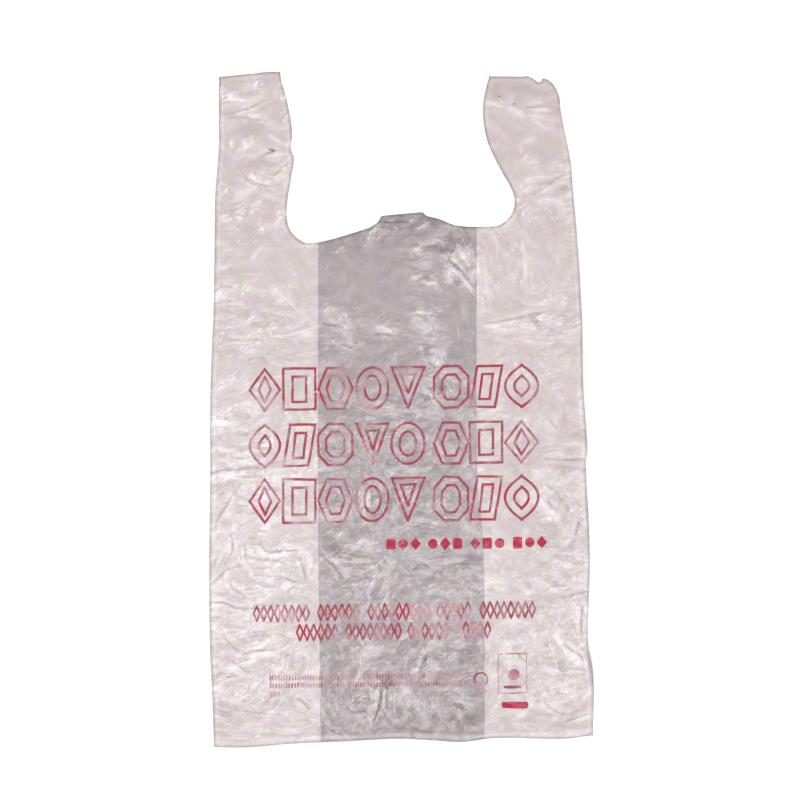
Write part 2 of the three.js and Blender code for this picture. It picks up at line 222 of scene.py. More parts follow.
# The creases that stand out on the photograph: for each its height and width in tenths of a millimetre,
# negative where it is a groove, and the places that it runs through, in the photograph's pixels.
CREASES = [
    # Left handle.
    (7, 16, (236, 115), (262, 114), (269, 116), (273, 104)),
    (-6, 14, (222, 114), (235, 113), (250, 108), (268, 100)),
    (-5, 12, (223, 118.5), (236, 118), (262, 121), (268, 124)), (6, 16, (267, 136), (274, 140), (284, 143)),
    (8, 18, (244, 158.5), (252, 155), (261, 153.5)), (-6, 14, (262, 156), (276, 151)),
    (6, 14, (254, 180), (264, 183), (268, 181), (278, 181)),
    (-6, 14, (233, 160), (243, 174), (250, 182), (272, 187)),
    (9, 16, (224, 198.5), (236, 196), (244, 190), (252, 188.5)),
    (8, 14, (225, 210), (238, 207), (248, 199), (255, 189)), (6, 14, (251, 203), (258, 206), (265, 207)),
    (6, 14, (262, 190), (269, 196), (279, 201)),
    (8, 14, (246, 247), (252, 239), (258, 233), (262, 226), (269, 223.5), (276, 224), (285, 228.5)),
    (6, 12, (271, 227), (279, 233)), (5, 12, (236, 94), (241, 90), (254, 89)),
    (5, 14, (223, 98), (230, 93)), (6, 14, (274, 86), (278.5, 93), (273.5, 103)),
    (-5, 12, (273.5, 176), (285, 166), (289, 164)), (4, 12, (229, 233), (237, 234)),
    (6, 12, (268, 123), (275, 121)), (5, 14, (222, 125), (229, 130), (233, 128)),
    # Right handle.
    (8, 14, (486, 101.5), (492, 103.5), (498.5, 106.5), (508, 108.5)),
    (6, 14, (503.5, 103), (508.5, 107), (512, 111.5)),
    (8, 16, (523.5, 107), (526, 117), (535, 124), (547, 128.5)),
    (7, 14, (529, 118), (535, 115), (549, 114)), (7, 12, (535.7, 110.7), (543.5, 110), (552, 110.7)),
    (-6, 14, (522, 108.5), (536, 107), (552, 107)), (7, 14, (511, 106), (517, 113), (523, 112)),
    (7, 16, (529, 164), (535, 163.5), (542, 161.5)),
    (8, 14, (523.5, 171.5), (529, 173), (536.5, 177), (550.5, 177), (560.5, 173)),
    (7, 12, (523.5, 178.5), (531.5, 179)), (8, 14, (535, 197), (542, 193), (552, 187), (566.5, 181.5)),
    (7, 12, (539.5, 203), (546.5, 198.5), (552, 194), (560.5, 192)),
    (-6, 16, (538, 184), (549, 183), (560.5, 177), (570.5, 174)),
    (5, 12, (542, 203), (546.5, 208.5), (549, 211.5), (558, 220)), (5, 12, (536.5, 224), (546.5, 228.5)),
    (4, 12, (513.5, 213), (518, 220)), (4, 12, (518, 211.5), (523, 220)), (5, 12, (525, 188), (528, 192)),
    (4, 14, (561, 211.5), (566.5, 220)), (4, 14, (500, 146), (514, 143)),
    # Left of the chest.
    (6, 12, (239, 274), (262, 275.7), (266.5, 278.5)), (5, 12, (245, 285), (262, 284), (270.7, 273)),
    (8, 14, (265, 284), (280.7, 295.7), (296.5, 310), (305, 315.7), (318, 321.5)),
    (6, 12, (268, 275.7), (285, 293), (298, 304)),
    (6, 12, (250.7, 311.5), (265, 311.5), (285, 315.7), (302, 320), (318, 322)),
    (6, 12, (260.7, 314), (273.5, 318.5), (290.7, 324), (308, 327)),
    (12, 18, (213, 346), (236.5, 343.5), (249, 343), (268, 337), (285, 338), (302, 331.5), (310.7, 328.5),
     (320, 327)),
    (-7, 14, (220.7, 341.5), (236.5, 340), (252, 340.7), (273.5, 335), (285, 334), (298, 330)),
    (-6, 12, (214, 293), (220.7, 287), (228, 287), (235.7, 288)),
    (6, 12, (220.7, 295.7), (230.7, 298.5), (240.7, 300)), (-6, 12, (213, 304), (228, 302), (239, 299)),
    (6, 12, (223.5, 305.7), (236.5, 303), (245, 300)),
    (6, 12, (228, 324), (233.5, 333), (239, 337), (248, 337)),
    (5, 12, (250.7, 290), (262, 297), (269, 294)), (5, 12, (235, 258.5), (239, 261.5), (243.5, 261.5)),
    (5, 14, (259, 347), (272, 353), (282, 347)), (4, 12, (286, 358.5), (298, 358.5)),
    (4, 12, (269, 260), (273.5, 268.5)), (4, 12, (286.5, 260), (296.5, 270)),
    # Middle of the chest.
    (-5, 8, (383, 222), (396, 222.5), (411, 221.5)), (9, 9, (412, 230), (421, 227), (431, 222.5)),
    (5, 12, (348, 247), (353.5, 255.7), (360.7, 257)), (5, 14, (375, 245.7), (380.7, 235.7), (386.5, 233)),
    (5, 12, (325, 270), (332, 263), (335, 265.7)), (4, 12, (326.5, 277), (336.5, 273)),
    (5, 14, (373.5, 274), (380.7, 274)), (5, 12, (383.5, 278.5), (390.7, 284)),
    (5, 14, (353, 290), (356.5, 304), (363.5, 314)),
    (9, 16, (322, 320), (326.5, 310), (330.7, 307), (334.5, 314)),
    (9, 16, (333.5, 324), (340.7, 318.5), (345, 313), (348, 327)),
    (-7, 14, (320.7, 324), (333.5, 325.7), (345, 328.5)), (7, 14, (335, 330), (345, 334), (353.5, 344)),
    (-6, 12, (339, 344), (353.5, 348.5)), (9, 16, (372, 327), (376.5, 327), (389, 330), (396.5, 337)),
    (-7, 12, (373.5, 334), (396.5, 335.7)), (6, 14, (376.5, 318.5), (383.5, 314), (384, 323)),
    (5, 12, (373.5, 338.5), (380.7, 340)), (6, 12, (418.5, 228.5), (424, 225.7), (428.5, 223)),
    (8, 14, (421.5, 244), (433, 238.5), (443, 243)), (8, 20, (412, 252), (418, 249), (424, 254)),
    (8, 14, (453, 253), (463, 247), (471.5, 250), (473, 257)),
    (-9, 12, (447, 258.5), (460, 271.5), (475.7, 288.5)), (9, 11, (450, 257), (461.5, 268.5), (474, 281.5)),
    (6, 12, (467, 285.7), (474, 297)), (8, 12, (413, 280), (415.7, 275.7), (423, 275.7)),
    (7, 12, (423, 283), (434, 284), (438.5, 287)),
    (7, 14, (445.7, 270), (450, 274), (457, 278.5), (461.5, 281.5)), (8, 12, (411.5, 313), (435.7, 313.5)),
    (8, 14, (408.5, 317), (418.5, 318.5), (424, 324), (434, 321.5)),
    (8, 14, (420, 331), (430, 326), (433, 338), (440, 343)),
    (7, 12, (408.5, 347), (423, 347), (431.5, 341.5)), (9, 16, (425.7, 354), (441.5, 350), (447, 361.5)),
    (6, 12, (457, 323), (460, 340)), (5, 12, (463, 340), (473, 341.5)),
    # Right of the chest.
    (6, 14, (479, 230), (485.7, 243), (491.5, 261.5), (497, 278.5)),
    (7, 16, (479.5, 253), (481, 281.5), (486, 318.5)), (5, 12, (485.7, 233), (495.7, 247)),
    (7, 14, (520, 235.7), (525.7, 253), (527, 270), (526.5, 284)), (4, 12, (528.5, 257), (533, 281.5)),
    (5, 12, (498.5, 310), (505.7, 307), (510.7, 308.5)),
    (-8, 16, (484, 324), (507, 320), (523, 317), (548.5, 311.5)),
    (9, 20, (486, 328), (503, 326), (530, 324), (560, 325)),
    (9, 13, (498.5, 333), (514, 335), (524, 337), (548.5, 338), (581, 337.5)),
    (6, 12, (537, 299), (548, 299)), (5, 12, (537, 304.5), (548, 302)), (5, 12, (537, 310), (549, 309)),
    (5, 12, (536, 316), (549, 316)), (6, 18, (552, 290), (558, 296)), (6, 18, (562, 304), (573, 303)),
    (5, 14, (574, 327), (579, 322)), (4, 12, (563, 234), (572, 232.5)), (4, 12, (564, 243), (574, 244)),
    # Left side, beside the upper rows of print.
    (6, 14, (229, 411.5), (238, 414), (243.5, 407), (250.7, 405.7)),
    (6, 14, (223.5, 428.5), (233.5, 431.5), (242, 425.7)), (6, 14, (235, 440), (246.5, 444), (252, 440)),
    (9, 14, (221, 459), (233.5, 467), (246.5, 464), (262, 458)),
    (-8, 14, (209, 474), (223.5, 470), (240.7, 469), (262, 468)),
    (-6, 12, (228, 453), (236.5, 458.5), (253.5, 457)),
    (-6, 12, (233.5, 476.5), (258, 477), (276.5, 474), (298, 473)),
    (9, 18, (212, 501.5), (220.7, 491.5), (229, 485.7)),
    (-9, 18, (213.5, 525.7), (223.5, 510), (232, 497), (236, 491)),
    (7, 14, (230.7, 508.5), (236.5, 504), (248, 504), (258, 508.5)),
    (-6, 12, (236.5, 513), (248, 513), (262, 514)), (6, 14, (235, 521.5), (248, 515.7), (258, 517)),
    (-6, 14, (238, 527), (245, 537), (256.5, 538.5)), (6, 16, (268, 470), (290, 468), (315, 474)),
    (6, 20, (300, 418), (312, 428), (316, 440)), (6, 14, (288, 505), (300, 500), (312, 505)),
    # Middle, beside and between the rows of print.
    (6, 14, (330.7, 414), (342, 417), (350, 413)), (6, 12, (319, 425.7), (322, 433), (327, 428.5)),
    (7, 12, (423, 375.7), (433, 381.5), (441.5, 383)), (7, 12, (424, 381.5), (441.5, 393)),
    (7, 12, (421.5, 387), (434, 397), (443, 400)), (7, 12, (463, 414), (467, 420)),
    (7, 14, (350, 398), (362, 404), (372, 399)), (6, 14, (329, 464), (345, 466)),
    (7, 14, (385, 470), (396, 474), (408, 470)), (8, 16, (375, 418), (392, 414), (412, 419)),
    (6, 14, (423, 515.7), (430, 511.5), (443, 508.5)), (7, 14, (420, 440), (434, 447), (440, 458)),
    (6, 14, (365, 440), (372, 452), (368, 463)), (7, 14, (405, 490), (398, 506), (404, 520)),
    (6, 14, (455, 500), (465, 512), (470, 524)), (7, 14, (344, 484), (352, 492), (350, 508)),
    (8, 14, (372, 524), (392, 529), (415, 524), (440, 530)), (6, 14, (425, 470), (436, 480), (448, 478)),
    (6, 12, (380, 494), (374, 505), (380, 516)),
    # Right side, beside the rows of print.
    (6, 16, (548.5, 378.5), (558.5, 375.7), (563, 381.5)),
    (7, 18, (541.5, 445.7), (557, 443), (571.5, 438.5), (582, 443)),
    (-8, 14, (544, 458.5), (563, 460), (586, 460)), (7, 12, (561.5, 455.7), (584, 457)),
    (7, 12, (561.5, 464), (584, 467)), (7, 14, (544, 477), (558.5, 480), (568.5, 484), (578.5, 483)),
    (-8, 14, (544, 484), (554, 491.5), (561.5, 500), (570, 510)),
    (-6, 12, (544, 497), (551.5, 505.7), (560, 511.5)), (7, 14, (554, 495.7), (558.5, 501.5)),
    (7, 20, (484, 469), (492, 467), (500, 470)), (6, 20, (517, 444), (527, 438)),
    (6, 14, (498, 416), (506, 410), (514, 416)), (-6, 12, (579, 521), (575.7, 537)),
    (5, 14, (556, 400), (562, 410), (560, 424)),
    # Lower left.
    (-9, 16, (211, 584), (218, 578), (226.7, 570), (235, 567.5), (243, 564)),
    (-7, 16, (231, 533), (232.5, 550), (225, 566)), (8, 16, (236.7, 540), (238, 552), (241.7, 565)),
    (-6, 12, (241, 540), (245, 545), (246, 560)),
    (-9, 14, (246, 544), (260, 545), (268, 551.7), (285, 551), (298, 551)),
    (7, 14, (246.7, 550), (263, 553), (276.7, 553), (295, 548)),
    (-7, 14, (246.7, 555), (263, 560), (280, 561.7), (296, 569)),
    (7, 14, (250, 565), (264, 571), (275, 568)),
    (-8, 12, (266.7, 576.7), (283, 576.7), (293, 581.7), (303, 583)),
    (-8, 14, (298, 556.7), (303, 568), (305, 580)), (7, 18, (311.7, 550), (313, 563), (308, 576.7)),
    (9, 20, (300, 545), (308, 541), (318, 546)), (-7, 14, (229, 580), (231, 586), (238, 592.5), (245, 595)),
    (8, 12, (241.7, 591.7), (260, 591.7), (271.7, 587.5), (285, 586.7)), (-7, 10, (245, 589), (260, 588)),
    (-6, 12, (286.7, 595), (291.7, 588), (298, 587)), (7, 16, (300, 588), (309, 584), (316, 592)),
    (-10, 13, (209, 602.5), (223, 602.5), (235, 606.7), (248, 609), (257, 610)),
    (7, 12, (211.7, 606), (230, 609), (245, 613), (253, 618)),
    (7, 12, (235, 598), (245, 601.7), (260, 601.7)),
    (7, 14, (220, 630), (226.7, 620), (233, 618), (236.7, 628)),
    (-6, 16, (222, 634), (230, 645), (240, 652), (248, 653), (265, 650), (278, 648), (285, 645),
     (289, 636)), (8, 14, (240, 646.7), (250, 649), (263, 645.5), (273, 641.7)),
    (7, 16, (265, 641.7), (268, 633), (278, 631.7), (285, 635)),
    (7, 14, (228, 658), (236.7, 660), (246, 665.5), (266.7, 663)),
    (-5, 14, (226, 655), (236, 664), (246.7, 671.7), (263, 669), (270, 663)),
    (7, 12, (220, 680), (230, 674), (246.7, 674), (265, 668)),
    (-8, 12, (213, 686), (226.7, 678), (236.7, 675)), (-8, 14, (272, 659), (270, 673), (271, 683)),
    (7, 14, (273, 662), (279, 656), (288, 650)), (-6, 12, (286.7, 653), (285, 666.7), (280, 675)),
    (8, 24, (311, 650), (308, 664), (311, 680)), (4, 12, (236, 686), (236, 697)),
    (4, 12, (247, 685), (247, 697)), (4, 12, (259, 684), (258, 697)),
    (7, 12, (238, 700), (246.7, 702), (263, 705)),
    (-9, 12, (214, 709), (226.7, 712.5), (235, 710), (245, 711), (260, 713.5), (264, 710), (275, 708)),
    (9, 14, (275, 715), (280, 703), (286, 694)), (-7, 14, (296.7, 698), (304, 703), (310, 710)),
    (8, 16, (305, 694), (312, 700), (320, 711)), (7, 11, (283, 715), (298, 721.7), (312, 723)),
    (7, 11, (275, 721.7), (288, 725), (305, 721.7)), (7, 11, (276.7, 728), (291.7, 730), (308, 726.7)),
    (6, 10, (285, 735), (305, 731.7), (318, 728)), (5, 12, (222, 722), (240, 727), (262, 723)),
    (5, 14, (218, 731), (236, 735), (262, 733)),
    # Lower middle.
    (-8, 16, (326, 559), (336.7, 570), (344, 583)), (8, 14, (323, 563), (331.7, 568), (338, 579)),
    (8, 12, (343, 550), (346.7, 545), (355, 546), (366, 548)),
    (-7, 10, (345, 553), (355, 556), (368, 556.7)),
    (8, 14, (333, 558), (343, 565), (355, 563), (368, 561.7)),
    (6, 14, (343, 573), (355, 575), (365, 571.7), (375, 570)),
    (10, 14, (364, 593), (371.7, 581.7), (381.7, 571.7), (388, 566)),
    (-8, 12, (360, 590), (368, 586), (376.7, 575)),
    (9, 12, (373, 600), (381.7, 590), (386.7, 581.7), (390, 573)),
    (7, 12, (340, 586.7), (350, 585), (363, 585)),
    (9, 14, (385, 600), (390, 591.7), (396.7, 587.5), (406, 587.5)),
    (8, 18, (357, 598), (364, 594), (371, 597)), (8, 16, (360, 647), (361, 660), (359, 673), (351.7, 690)),
    (8, 14, (351.7, 690), (353.5, 701), (351, 711)), (8, 16, (362, 648), (372, 652), (382, 647)),
    (7, 14, (366, 660), (375, 663), (386, 659)),
    (10, 16, (354, 705), (363, 696.7), (371.7, 698), (366, 709)),
    (-8, 12, (346.7, 706.7), (353, 712.5), (366, 711)), (-11, 14, (382, 686), (379, 706.7), (373, 724)),
    (9, 14, (377, 688), (374.5, 706.7), (367, 724)), (-8, 12, (388, 686), (386.7, 709)),
    (8, 12, (384.5, 688), (383, 709)), (4, 10, (324, 690), (325, 706)), (4, 10, (330, 690), (331, 708)),
    (4, 10, (337, 690), (337, 706)), (5, 12, (344, 688), (342, 700)),
    (-9, 30, (321, 722), (332, 731), (345, 736)), (-5, 12, (365, 731.7), (385, 728.5), (408, 728)),
    (8, 14, (395, 690), (394, 706), (398, 720)), (9, 16, (405, 556.7), (418, 555), (431.7, 561.7)),
    (7, 14, (423, 577), (433, 573)), (10, 16, (445, 589), (455, 585), (465, 588.5)),
    (8, 14, (455, 578), (463, 575), (470, 580), (478, 586.7)), (-7, 14, (466.7, 588), (481, 594)),
    (6, 14, (468, 571.7), (480, 570)), (8, 14, (410, 660), (420, 654), (424, 644)),
    (8, 14, (428, 672), (440, 668), (446, 660)), (8, 16, (434, 650), (446, 654), (456, 648)),
    (9, 14, (418, 703), (422, 718)), (8, 14, (429, 706), (425, 719)),
    (8, 14, (438, 704), (441.7, 719), (448, 722)), (7, 14, (404, 694), (411, 700), (408, 712)),
    (8, 16, (440, 697), (452, 693), (462, 700)), (6, 12, (446, 650), (444, 664)),
    (6, 14, (465, 612), (472, 600), (470, 590)), (7, 14, (410, 575), (400, 566), (398, 556)),
    # Lower right.
    (9, 24, (486, 576), (496, 580), (507, 590)),
    (7, 18, (505, 571), (523, 566.7), (538, 561.7), (549, 560)), (-4, 12, (543, 547), (560, 546)),
    (6, 12, (554, 570), (557, 560), (562, 568)), (6, 12, (563, 560), (568, 570)),
    (6, 14, (568, 561.7), (586.7, 563)), (8, 14, (558, 595), (575, 588.5), (589, 588)),
    (-7, 12, (561, 598), (577, 594), (589, 592)), (6, 12, (543, 604), (558, 606)),
    (8, 14, (568, 608), (571.7, 623), (575, 636.7), (581.7, 647)),
    (-9, 16, (583, 605), (581, 623), (584, 645)), (7, 12, (550, 618), (560, 633), (568, 646.7)),
    (6, 12, (556, 616), (567, 632)), (-8, 14, (563, 643), (571.7, 650), (580, 655), (583, 662)),
    (7, 14, (546.7, 673), (558, 675), (573, 670)),
    (8, 14, (545, 691), (550, 683), (560, 686), (563, 693), (553, 697)),
    (8, 14, (563, 712), (573, 710), (581, 703), (582, 692)), (-7, 12, (543, 700), (553, 710), (566.7, 715)),
    (-8, 14, (560, 723), (572, 720), (581.7, 716), (592, 713)), (8, 16, (485, 722), (500, 715), (511, 717)),
    (8, 14, (487, 718), (494, 708), (503, 699)), (7, 14, (522, 723), (530, 730), (541.7, 725)),
    (-6, 12, (516, 651), (520, 657), (525, 662)), (7, 20, (489, 640), (491, 655), (489, 672)),
    (6, 14, (516, 625), (528, 631), (540, 628)), (6, 14, (535, 636), (543, 642), (541, 650)),
    (6, 14, (510, 600), (520, 596), (534, 600)), (5, 16, (498, 545), (512, 550), (530, 548)),
    (6, 14, (540, 655), (548, 662), (560, 660)),
]
TENTH = 0.0001
crease_lines = [(TENTH * depth, TENTH * spread, smooth_line(places, 4)) for depth, spread, *places in CREASES]

# Which way the film is squeezed, and how much: across the creases, and most where they lie thickest.
USUAL_CREASE = 0.0008
SQUEEZE_REACH = 0.009
LEAST_SQUEEZE = 0.6
CREASE_SHARE = 0.6
CREASE_ENDS = 0.15
GENTLE_FLANK = 1.2
STEEP_FLANK = 0.6
squeeze_xx, squeeze_yy, squeeze_xy = (np.zeros(FIELD_SHAPE) for _ in range(3))
drawn_creases = np.zeros(FIELD_SHAPE)
for depth, spread, line in crease_lines:
    block, off, side, place = near_line(grid_x, grid_y, line, 2.5 * SQUEEZE_REACH)
    weight = np.exp(-((off / SQUEEZE_REACH) ** 2)) * abs(depth) / USUAL_CREASE
    run_x, run_y = line[-1] - line[0]
    length = math.hypot(run_x, run_y) + 1e-6
    squeeze_xx[block] += weight * (run_y / length) ** 2
    squeeze_yy[block] += weight * (run_x / length) ** 2
    squeeze_xy[block] -= weight * run_x * run_y / length**2
    taper = np.sqrt(np.clip(1 - (2 * place - 1) ** 2, 0, None)) + CREASE_ENDS
    width = spread * np.where(side > 0, GENTLE_FLANK, STEEP_FLANK)
    drawn_creases[block] += CREASE_SHARE * depth * np.clip(taper, 0, 1) * np.exp(-off / width)
squeeze_total = squeeze_xx + squeeze_yy

# How much too long the film is for its room, all over and across the creases. Each has a value for the
# smooth chest of the bag, and what the lower half and the handles add to it.
HANDLE_LINE = float(from_pixel(0, 245)[1])
HANDLE_BLEND = 0.008
CHEST_LINE = float(from_pixel(0, 375)[1])
CHEST_BLEND = 0.015
EXTRA_ALL_OVER = (0.0015, 0.0045, 0.002)
EXTRA_ACROSS_CREASES = (0.004, 0.020, 0.010)
in_handles = 1 / (1 + np.exp(-(grid_y - HANDLE_LINE) / HANDLE_BLEND))
in_lower_part = 1 / (1 + np.exp((grid_y - CHEST_LINE) / CHEST_BLEND))
all_over, across_creases = (chest + lower_part * in_lower_part + handles * in_handles
                            for chest, lower_part, handles in (EXTRA_ALL_OVER, EXTRA_ACROSS_CREASES))
share = across_creases * (1 / (squeeze_total + LEAST_SQUEEZE))
both_ways = all_over + share * squeeze_total / 2
stretch_across = 1 + all_over + share * squeeze_xx
stretch_along = 1 + all_over + share * squeeze_yy
stretch_rising = 1 + both_ways + share * squeeze_xy
stretch_falling = 1 + both_ways - share * squeeze_xy

# The crumpling itself. A sheet that is a few hundredths too long for the room it lies in buckles under
# a low ceiling, as the flattened film did, into flat facets that meet in sharp creases. For each level,
# from coarse to fine, the distance between the sheet's points and the number of rounds.
BUCKLE_LEVELS = ((0.0064, 300), (0.0032, 240), (0.0016, 160), (0.0008, 40))
BUCKLE_SEED = 5
STRAIGHT_PULL = 0.9
SLANTING_PULL = 0.6
BUCKLE_STIFFNESS = 0.45
CREASE_YIELD = 0.02
BUCKLE_HOLD = 0.010
FIRST_RIPPLE = 0.0006
FIRST_CREASES = 0.5
CEILING = 0.0032


def pull_together(first, second, rest, strength):
    """Moves pairs of points toward their rest distance apart."""
    apart = second - first
    distance = np.sqrt((apart * apart).sum(-1))
    apart *= (0.5 * strength * (1 - rest / np.maximum(distance, 1e-9)))[..., None]
    first += apart
    second -= apart


def neighbours(start, count):
    """Every other point from start, and the one after each."""
    end = start + 2 * ((count - start) // 2)
    return slice(start, end, 2), slice(start + 1, end + 1, 2)


def keep_lengths(sheet, rest_across, rest_along, rest_rising, rest_falling):
    """Moves each point toward its right distance from the points round it."""
    for start in (0, 1):
        one, other = neighbours(start, sheet.shape[1])
        pull_together(sheet[:, one], sheet[:, other], rest_across[:, one], STRAIGHT_PULL)
        one, other = neighbours(start, sheet.shape[0])
        pull_together(sheet[one], sheet[other], rest_along[one], STRAIGHT_PULL)
        pull_together(sheet[one, :-1], sheet[other, 1:], rest_rising[one, :-1], SLANTING_PULL)
        pull_together(sheet[one, 1:], sheet[other, :-1], rest_falling[one, 1:], SLANTING_PULL)


def resist_bending(sheet, rest):
    """Straightens each three points in a row, less where they are already bent sharply."""
    for start in range(4):
        second = sheet[start + 2::4]
        first = sheet[start:-2:4][:len(second)]
        second = second[:len(first)]
        length = 2 * rest[start:-2:4][:len(first)]
        folded = np.maximum(1 - np.linalg.norm(second - first, axis=-1) / length, 0)
        pull_together(first, second, length, BUCKLE_STIFFNESS / (1 + (folded / CREASE_YIELD) ** 2))


def finer(sheet, shape):
    """A sheet of points at twice the resolution."""
    rows, columns = np.arange(shape[0]) / 2, np.arange(shape[1]) / 2
    i = np.minimum(rows.astype(int), sheet.shape[0] - 2)
    j = np.minimum(columns.astype(int), sheet.shape[1] - 2)
    s, t = (rows - i)[:, None, None], (columns - j)[None, :, None]
    low = sheet[i][:, j] * (1 - t) + sheet[i][:, j + 1] * t
    high = sheet[i + 1][:, j] * (1 - t) + sheet[i + 1][:, j + 1] * t
    return np.ascontiguousarray(low * (1 - s) + high * s, np.float32)


def buckle():
    """Crumples the sheet. Gives its points, which started on the field's own, with their heights."""
    dice = np.random.default_rng(BUCKLE_SEED)
    coarsest = round(BUCKLE_LEVELS[0][0] / FIELD_STEP)
    sheet = None
    for step, rounds in BUCKLE_LEVELS:
        every = round(step / FIELD_STEP)
        thin = slice(None, None, every)
        home = np.stack([grid_x[thin, thin], grid_y[thin, thin]], -1).astype(np.float32)
        shape = home.shape[:2]
        ripple = dice.uniform(-1, 1, shape) * FIRST_RIPPLE * every / coarsest
        ripple += FIRST_CREASES * drawn_creases[thin, thin]
        if sheet is None:
            sheet = np.dstack([home, CEILING / 2 + ripple]).astype(np.float32)
        else:
            sheet = finer(sheet, shape)
            sheet[..., 2] += ripple
        slant = step * 2**0.5
        rests = [(length * stretch[thin, thin]).astype(np.float32)
                 for length, stretch in ((step, stretch_across), (step, stretch_along),
                                         (slant, stretch_rising), (slant, stretch_falling))]
        for _ in range(rounds):
            keep_lengths(sheet, *rests)
            resist_bending(sheet, rests[1])
            resist_bending(sheet.transpose(1, 0, 2), rests[0].T)
            sheet[..., :2] += BUCKLE_HOLD * (home - sheet[..., :2])
            sheet[[0, -1], :, :2] = home[[0, -1]]
            sheet[:, [0, -1], :2] = home[:, [0, -1]]
            np.clip(sheet[..., 2], 0, CEILING, out=sheet[..., 2])
    return sheet.astype(float)


# The creases that stand out are laid over the crumpling, which gives way to them, and broad billows lift
# the whole. Each billow has a height, a width and a seed.
FULL_CREASE = 0.0004
CREASE_MAKES_WAY = 0.5
BILLOWS = ((0.0009, 0.11, 5), (0.0006, 0.05, 6))
crumpled_sheet = buckle()
shift_x = crumpled_sheet[..., 0] - grid_x
shift_y = crumpled_sheet[..., 1] - grid_y
under_creases = 1 - CREASE_MAKES_WAY * np.clip(np.abs(drawn_creases) / FULL_CREASE, 0, 1)
relief = crumpled_sheet[..., 2] * under_creases + drawn_creases
for billow_height, billow_width, seed in BILLOWS:
    relief = relief + billow_height * soft_waves(billow_width, seed)

# Toward the heat seals at both ends the layers come together and the relief flattens. The bottom seal is
# a low bead, and the skirt of loose film below it is puckered and looks whiter.
SEAL_INSET = 0.0052
SEAL_WIDTH = 0.0022
SEAL_EASE = 0.016
SEAL_FLATTENING = 0.6
BEAD_HEIGHT = 0.00030
BEAD_WIDTH = 0.0010
SKIRT_EDGE = 0.0006
SKIRT_RIPPLE = 0.00036


def seal_share(across, along):
    """1 where the layers are fused at an end of the bag, easing to 0 some way from the seal."""
    from_bottom = np.abs(along - end_at(BOTTOM_SEAL, across))
    from_top = np.abs(end_at(TOP_SIDE, across) - SEAL_INSET - along)
    away = np.minimum(from_bottom, from_top)
    t = np.clip((away - SEAL_WIDTH / 2) / SEAL_EASE, 0, 1)
    return 1 - t * t * (3 - 2 * t)


# The lowest hundredth of the relief lies flat. The clip keeps the skirt's exponent within what exp takes.
relief -= np.percentile(relief, 1)
relief = np.clip(relief, 0, None) * (1 - SEAL_FLATTENING * seal_share(grid_x, grid_y))
above_seal = grid_y - end_at(BOTTOM_SEAL, grid_x)
skirt = 1 / (1 + np.exp(np.clip(above_seal / SKIRT_EDGE, -50, 50)))
relief += BEAD_HEIGHT * np.exp(-((above_seal / BEAD_WIDTH) ** 2))
relief += SKIRT_RIPPLE * skirt * (soft_waves(0.0028, 31, 0.02) + 1)

# What the finish is drawn from: how high the layers underneath can lie, how far a place stands out from
# the film round it, and how finely it is creased.
CREST_UNIT = 0.0004
HAZE_UNIT = 0.00022
under_relief = soften(hollows(relief, 0.0024), 0.0016)
crest = relief - soften(relief, 0.0020)
haze = soften(np.abs(relief - soften(relief, 0.0032)), 0.0024) / HAZE_UNIT

